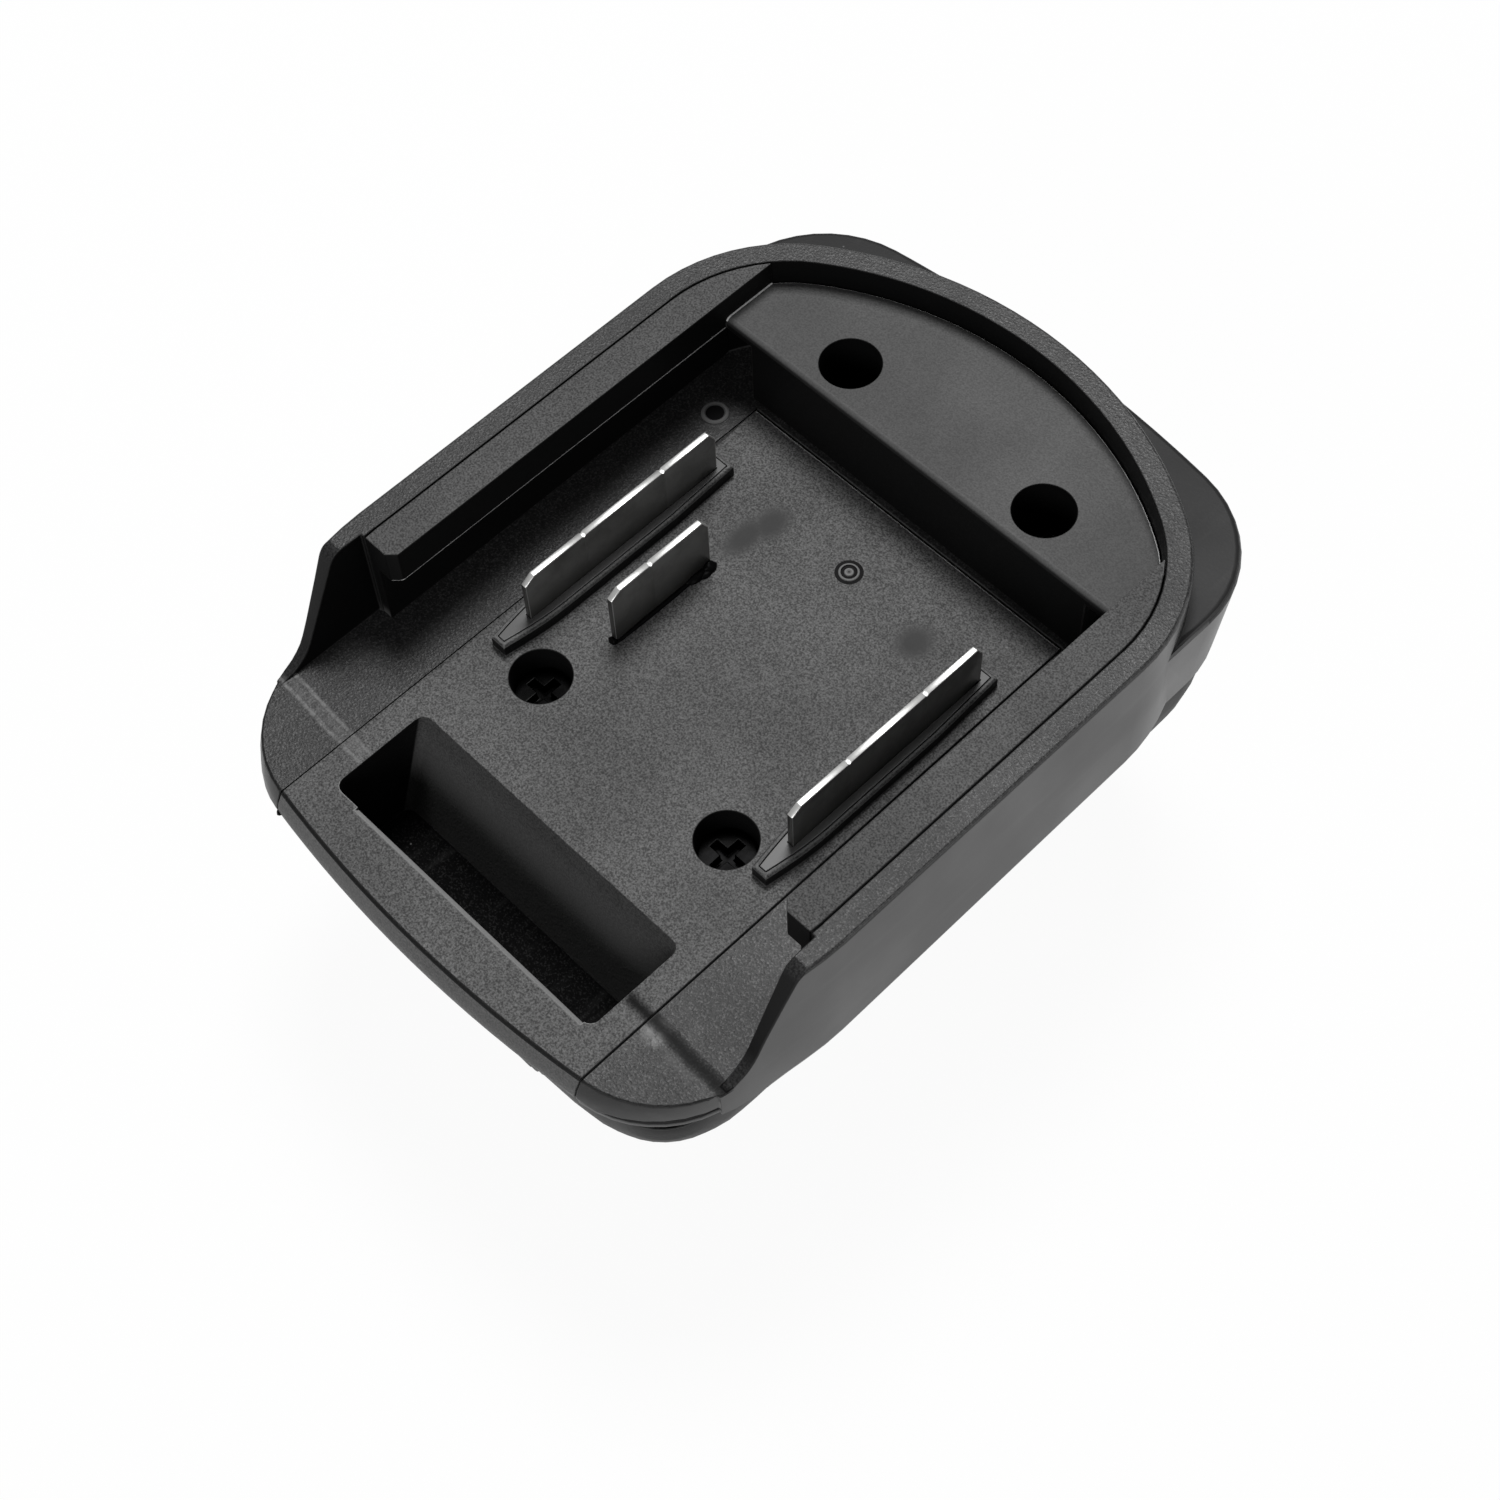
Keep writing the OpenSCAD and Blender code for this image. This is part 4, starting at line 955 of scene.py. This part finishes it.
def coil(bm, centre, radius, wire, low, high, turns):
    """Helical wire with flattened end turns, added to a mesh."""
    steps, sides = turns * 28, 10
    rings = []
    for i in range(steps + 1):
        share = i / steps
        angle = 2 * math.pi * turns * share
        out = Vector((math.cos(angle), math.sin(angle), 0))
        rise = 0.5 - 0.5 * math.cos(math.pi * share) * (0.92 + 0.08 * abs(2 * share - 1))
        middle = out * radius + centre
        middle.z = low + wire / 2 + (high - low - wire) * rise
        rings.append([bm.verts.new(middle + (out * math.cos(a) + Vector((0, 0, 1)) * math.sin(a)) * wire / 2)
                      for a in [2 * math.pi * k / sides for k in range(sides)]])
    for one, two in zip(rings, rings[1:]):
        for k in range(sides):
            bm.faces.new((one[k], one[(k + 1) % sides], two[(k + 1) % sides], two[k]))
    bm.faces.new(rings[0])
    bm.faces.new(rings[-1])


class AdapterSprings(bpy.types.Operator):
    """Two coil springs that return the latch"""
    bl_idname = "adapter.springs"
    bl_label = "Latch springs"

    def execute(self, context):
        finish, form = context.scene.adapter_finish, context.scene.adapter_form
        steel = sheet_metal("spring_wire", finish.steel_tone, finish.tarnish_tone, finish.steel_tone, 0.2,
                            3.0, 3.0)
        low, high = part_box("latch_springs")
        bm = bmesh.new()
        reach = (high[1] - low[1]) / 2
        for x in (low[0] + reach, high[0] - reach):
            centre = Vector((x, (low[1] + high[1]) / 2, 0))
            coil(bm, centre, reach - form.wire / 2, form.wire, low[2], high[2], form.spring_turns)
        piece = link("latch_coils", finish_mesh(bm, 50), steel, "adapter")
        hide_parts("latch_springs")
        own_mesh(piece)
        return {"FINISHED"}


class AdapterClips(bpy.types.Operator):
    """Fork contacts in the foot and the strips that feed them"""
    bl_idname = "adapter.clips"
    bl_label = "Fork contacts"

    def execute(self, context):
        finish = context.scene.adapter_finish
        bronze = sheet_metal("bronze_sheet", finish.bronze_tone, BRONZE_TARNISH, BRONZE_POLISH, 0.26, 0.8, 5.0)
        for old, new in (("_clip", "_fork"), ("_bus", "_strip")):
            for side in ("positive", "negative", "signal"):
                moulding(side + old, side + new, bronze, 0.06 * MM)
        return {"FINISHED"}


class AdapterScrews(bpy.types.Operator):
    """Blackened screws of the dock, the foot and the carrier"""
    bl_idname = "adapter.screws"
    bl_label = "Screws"

    def execute(self, context):
        finish = context.scene.adapter_finish
        zinc = sheet_metal("screw_zinc", finish.zinc_tone, finish.deep_and_shade_tone, ZINC_POLISH, 0.2, 2.0, 2.0,
                           torn=1.0)
        for place in ("housing", "foot", "block"):
            moulding(place + "_screws", place + "_screw_set", zinc, 0.16 * MM, mark=0.4)
        return {"FINISHED"}


class AdapterMarks(bpy.types.Operator):
    """Gate rings left on the floor by the mould, flash at the short blade and a burr at the left seam"""
    bl_idname = "adapter.mould_marks"
    bl_label = "Mould marks"

    def execute(self, context):
        finish = context.scene.adapter_finish
        skin = plain_plastic("mark_skin", finish.dock_tone, 7.0, 0.5, 0.05)
        for name, (spot, profile, marks) in GATE_RINGS.items():
            bm = lathe([(r * MM, z * MM) for r, z in profile], marks, 40)
            bmesh.ops.translate(bm, verts=bm.verts, vec=dock(*spot))
            link(name, finish_mesh(bm, 28), skin, "adapter")
        gum = plain_plastic("flash_skin", finish.deep_and_shade_tone, 1.0, 0.4, 0.05)
        for name, lumps in GUM_LUMPS.items():
            bm = bmesh.new()
            for x, y, z, wide, long, tall in lumps:
                for v in bmesh.ops.create_icosphere(bm, subdivisions=3, radius=1)["verts"]:
                    lump = 1 + 0.25 * noise.noise(v.co * 1.7 + Vector((x, y, z)))
                    way = Vector((v.co.x * wide, v.co.y * long, max(v.co.z, -0.1) * tall))
                    v.co = dock(x, y, z) + way * lump * MM
            link(name, finish_mesh(bm, 80), gum, "adapter")
        return {"FINISHED"}


def area_light(name, place, size, power):
    """Rectangular lamp that looks at the part."""
    data = bpy.data.lights.new(name, "AREA")
    data.shape, data.size, data.size_y, data.energy = "RECTANGLE", size[0], size[1], power
    lamp = bpy.data.objects.new(name, data)
    lamp.location = place
    lamp.rotation_euler = (Vector(LIT_SPOT) - Vector(place)).to_track_quat("-Z", "Y").to_euler()
    bpy.context.scene.collection.objects.link(lamp)


def seen_white(tree, share, gleam=1.0):
    """Factor that shows plain white to the camera, and a share of it to reflections."""
    path = put(tree, "LightPath").outputs
    mirrored = most(tree, times(tree, path["Is Glossy Ray"], gleam), path["Is Transmission Ray"])
    return times(tree, most(tree, path["Is Camera Ray"], mirrored), share)


class AdapterStage(bpy.types.Operator):
    """Pale floor, soft lights, white room and the camera"""
    bl_idname = "adapter.stage"
    bl_label = "Studio"

    def execute(self, context):
        scene, studio = context.scene, context.scene.adapter_studio
        bm = bmesh.new()
        bmesh.ops.create_grid(bm, x_segments=4, y_segments=4, size=FLOOR_HALF)
        mesh = bpy.data.meshes.new("floor")
        bm.to_mesh(mesh)
        bm.free()
        paper, tree, shader = start_material("floor_paper", Roughness=0.9, Base_Color=PAPER_TONE)
        glow = put(tree, "Emission", {"Color": WHITE, "Strength": 1.0})
        mix = put(tree, "MixShader", {0: seen_white(tree, 0.95), 1: shader.outputs[0], 2: glow.outputs[0]})
        tree.links.new(mix.outputs[0], tree.nodes["Material Output"].inputs[0])
        mesh.materials.append(paper)
        floor = bpy.data.objects.new("floor", mesh)
        floor.location.z = -FLOOR_GAP
        scene.collection.objects.link(floor)

        world = bpy.data.worlds.new("white_room")
        world.use_nodes = True
        scene.world = world
        room = world.node_tree
        sky = room.nodes["Background"]
        level = put(room, "MapRange", {0: seen_white(room, 1.0, studio.gleam), 3: studio.room, 4: 1.0})
        sky.inputs["Color"].default_value = WHITE
        room.links.new(level.outputs[0], sky.inputs["Strength"])

        area_light("overhead_box", KEY_PLACE, (0.4, 0.4), studio.key_power)
        area_light("front_card", FILL_PLACE, (0.7, 0.5), studio.fill_power)

        data = bpy.data.cameras.new("photo_camera")
        data.sensor_width, data.lens = 36, studio.lens
        data.shift_x, data.shift_y = VIEW_SHIFT
        data.clip_start, data.clip_end = 0.01, 20
        camera = bpy.data.objects.new("photo_camera", data)
        turn = Matrix((VIEW_RIGHT, -VIEW_DOWN, -VIEW_AHEAD)).transposed().to_4x4()
        camera.matrix_world = Matrix.Translation(dock(*VIEW_EYE)) @ turn
        scene.collection.objects.link(camera)
        scene.camera = camera
        scene.view_settings.view_transform = "Standard"
        return {"FINISHED"}


STEPS = (AdapterShell, AdapterRails, AdapterPanel, AdapterCarrier, AdapterBlades, AdapterHousing, AdapterFoot,
         AdapterLatch, AdapterSprings, AdapterClips, AdapterScrews, AdapterMarks, AdapterStage)


class ADAPTER_PT_sidebar(bpy.types.Panel):
    """Sidebar with the finishes, sizes and steps of the adapter"""
    bl_idname = "ADAPTER_PT_sidebar"
    bl_label = "Battery adapter"
    bl_space_type = "VIEW_3D"
    bl_region_type = "UI"
    bl_category = "Adapter"

    def draw(self, context):
        scene = context.scene
        for holder in (scene.adapter_finish, scene.adapter_form, scene.adapter_studio):
            column = self.layout.column(align=True)
            for key in holder.bl_rna.properties.keys():
                if key not in ("rna_type", "name"):
                    column.prop(holder, key)
        for each in STEPS:
            self.layout.operator(each.bl_idname)


CLASSES = (AdapterFinish, AdapterForm, AdapterStudio) + STEPS + (ADAPTER_PT_sidebar,)


def register():
    for each in CLASSES:
        bpy.utils.register_class(each)
    bpy.types.Scene.adapter_finish = bpy.props.PointerProperty(type=AdapterFinish)
    bpy.types.Scene.adapter_form = bpy.props.PointerProperty(type=AdapterForm)
    bpy.types.Scene.adapter_studio = bpy.props.PointerProperty(type=AdapterStudio)


def unregister():
    for key in ("adapter_finish", "adapter_form", "adapter_studio"):
        delattr(bpy.types.Scene, key)
    for each in reversed(CLASSES):
        bpy.utils.unregister_class(each)


def main():
    register()
    for each in STEPS:
        family, name = each.bl_idname.split(".")
        getattr(getattr(bpy.ops, family), name)()


if __name__ == "__main__":
    main()
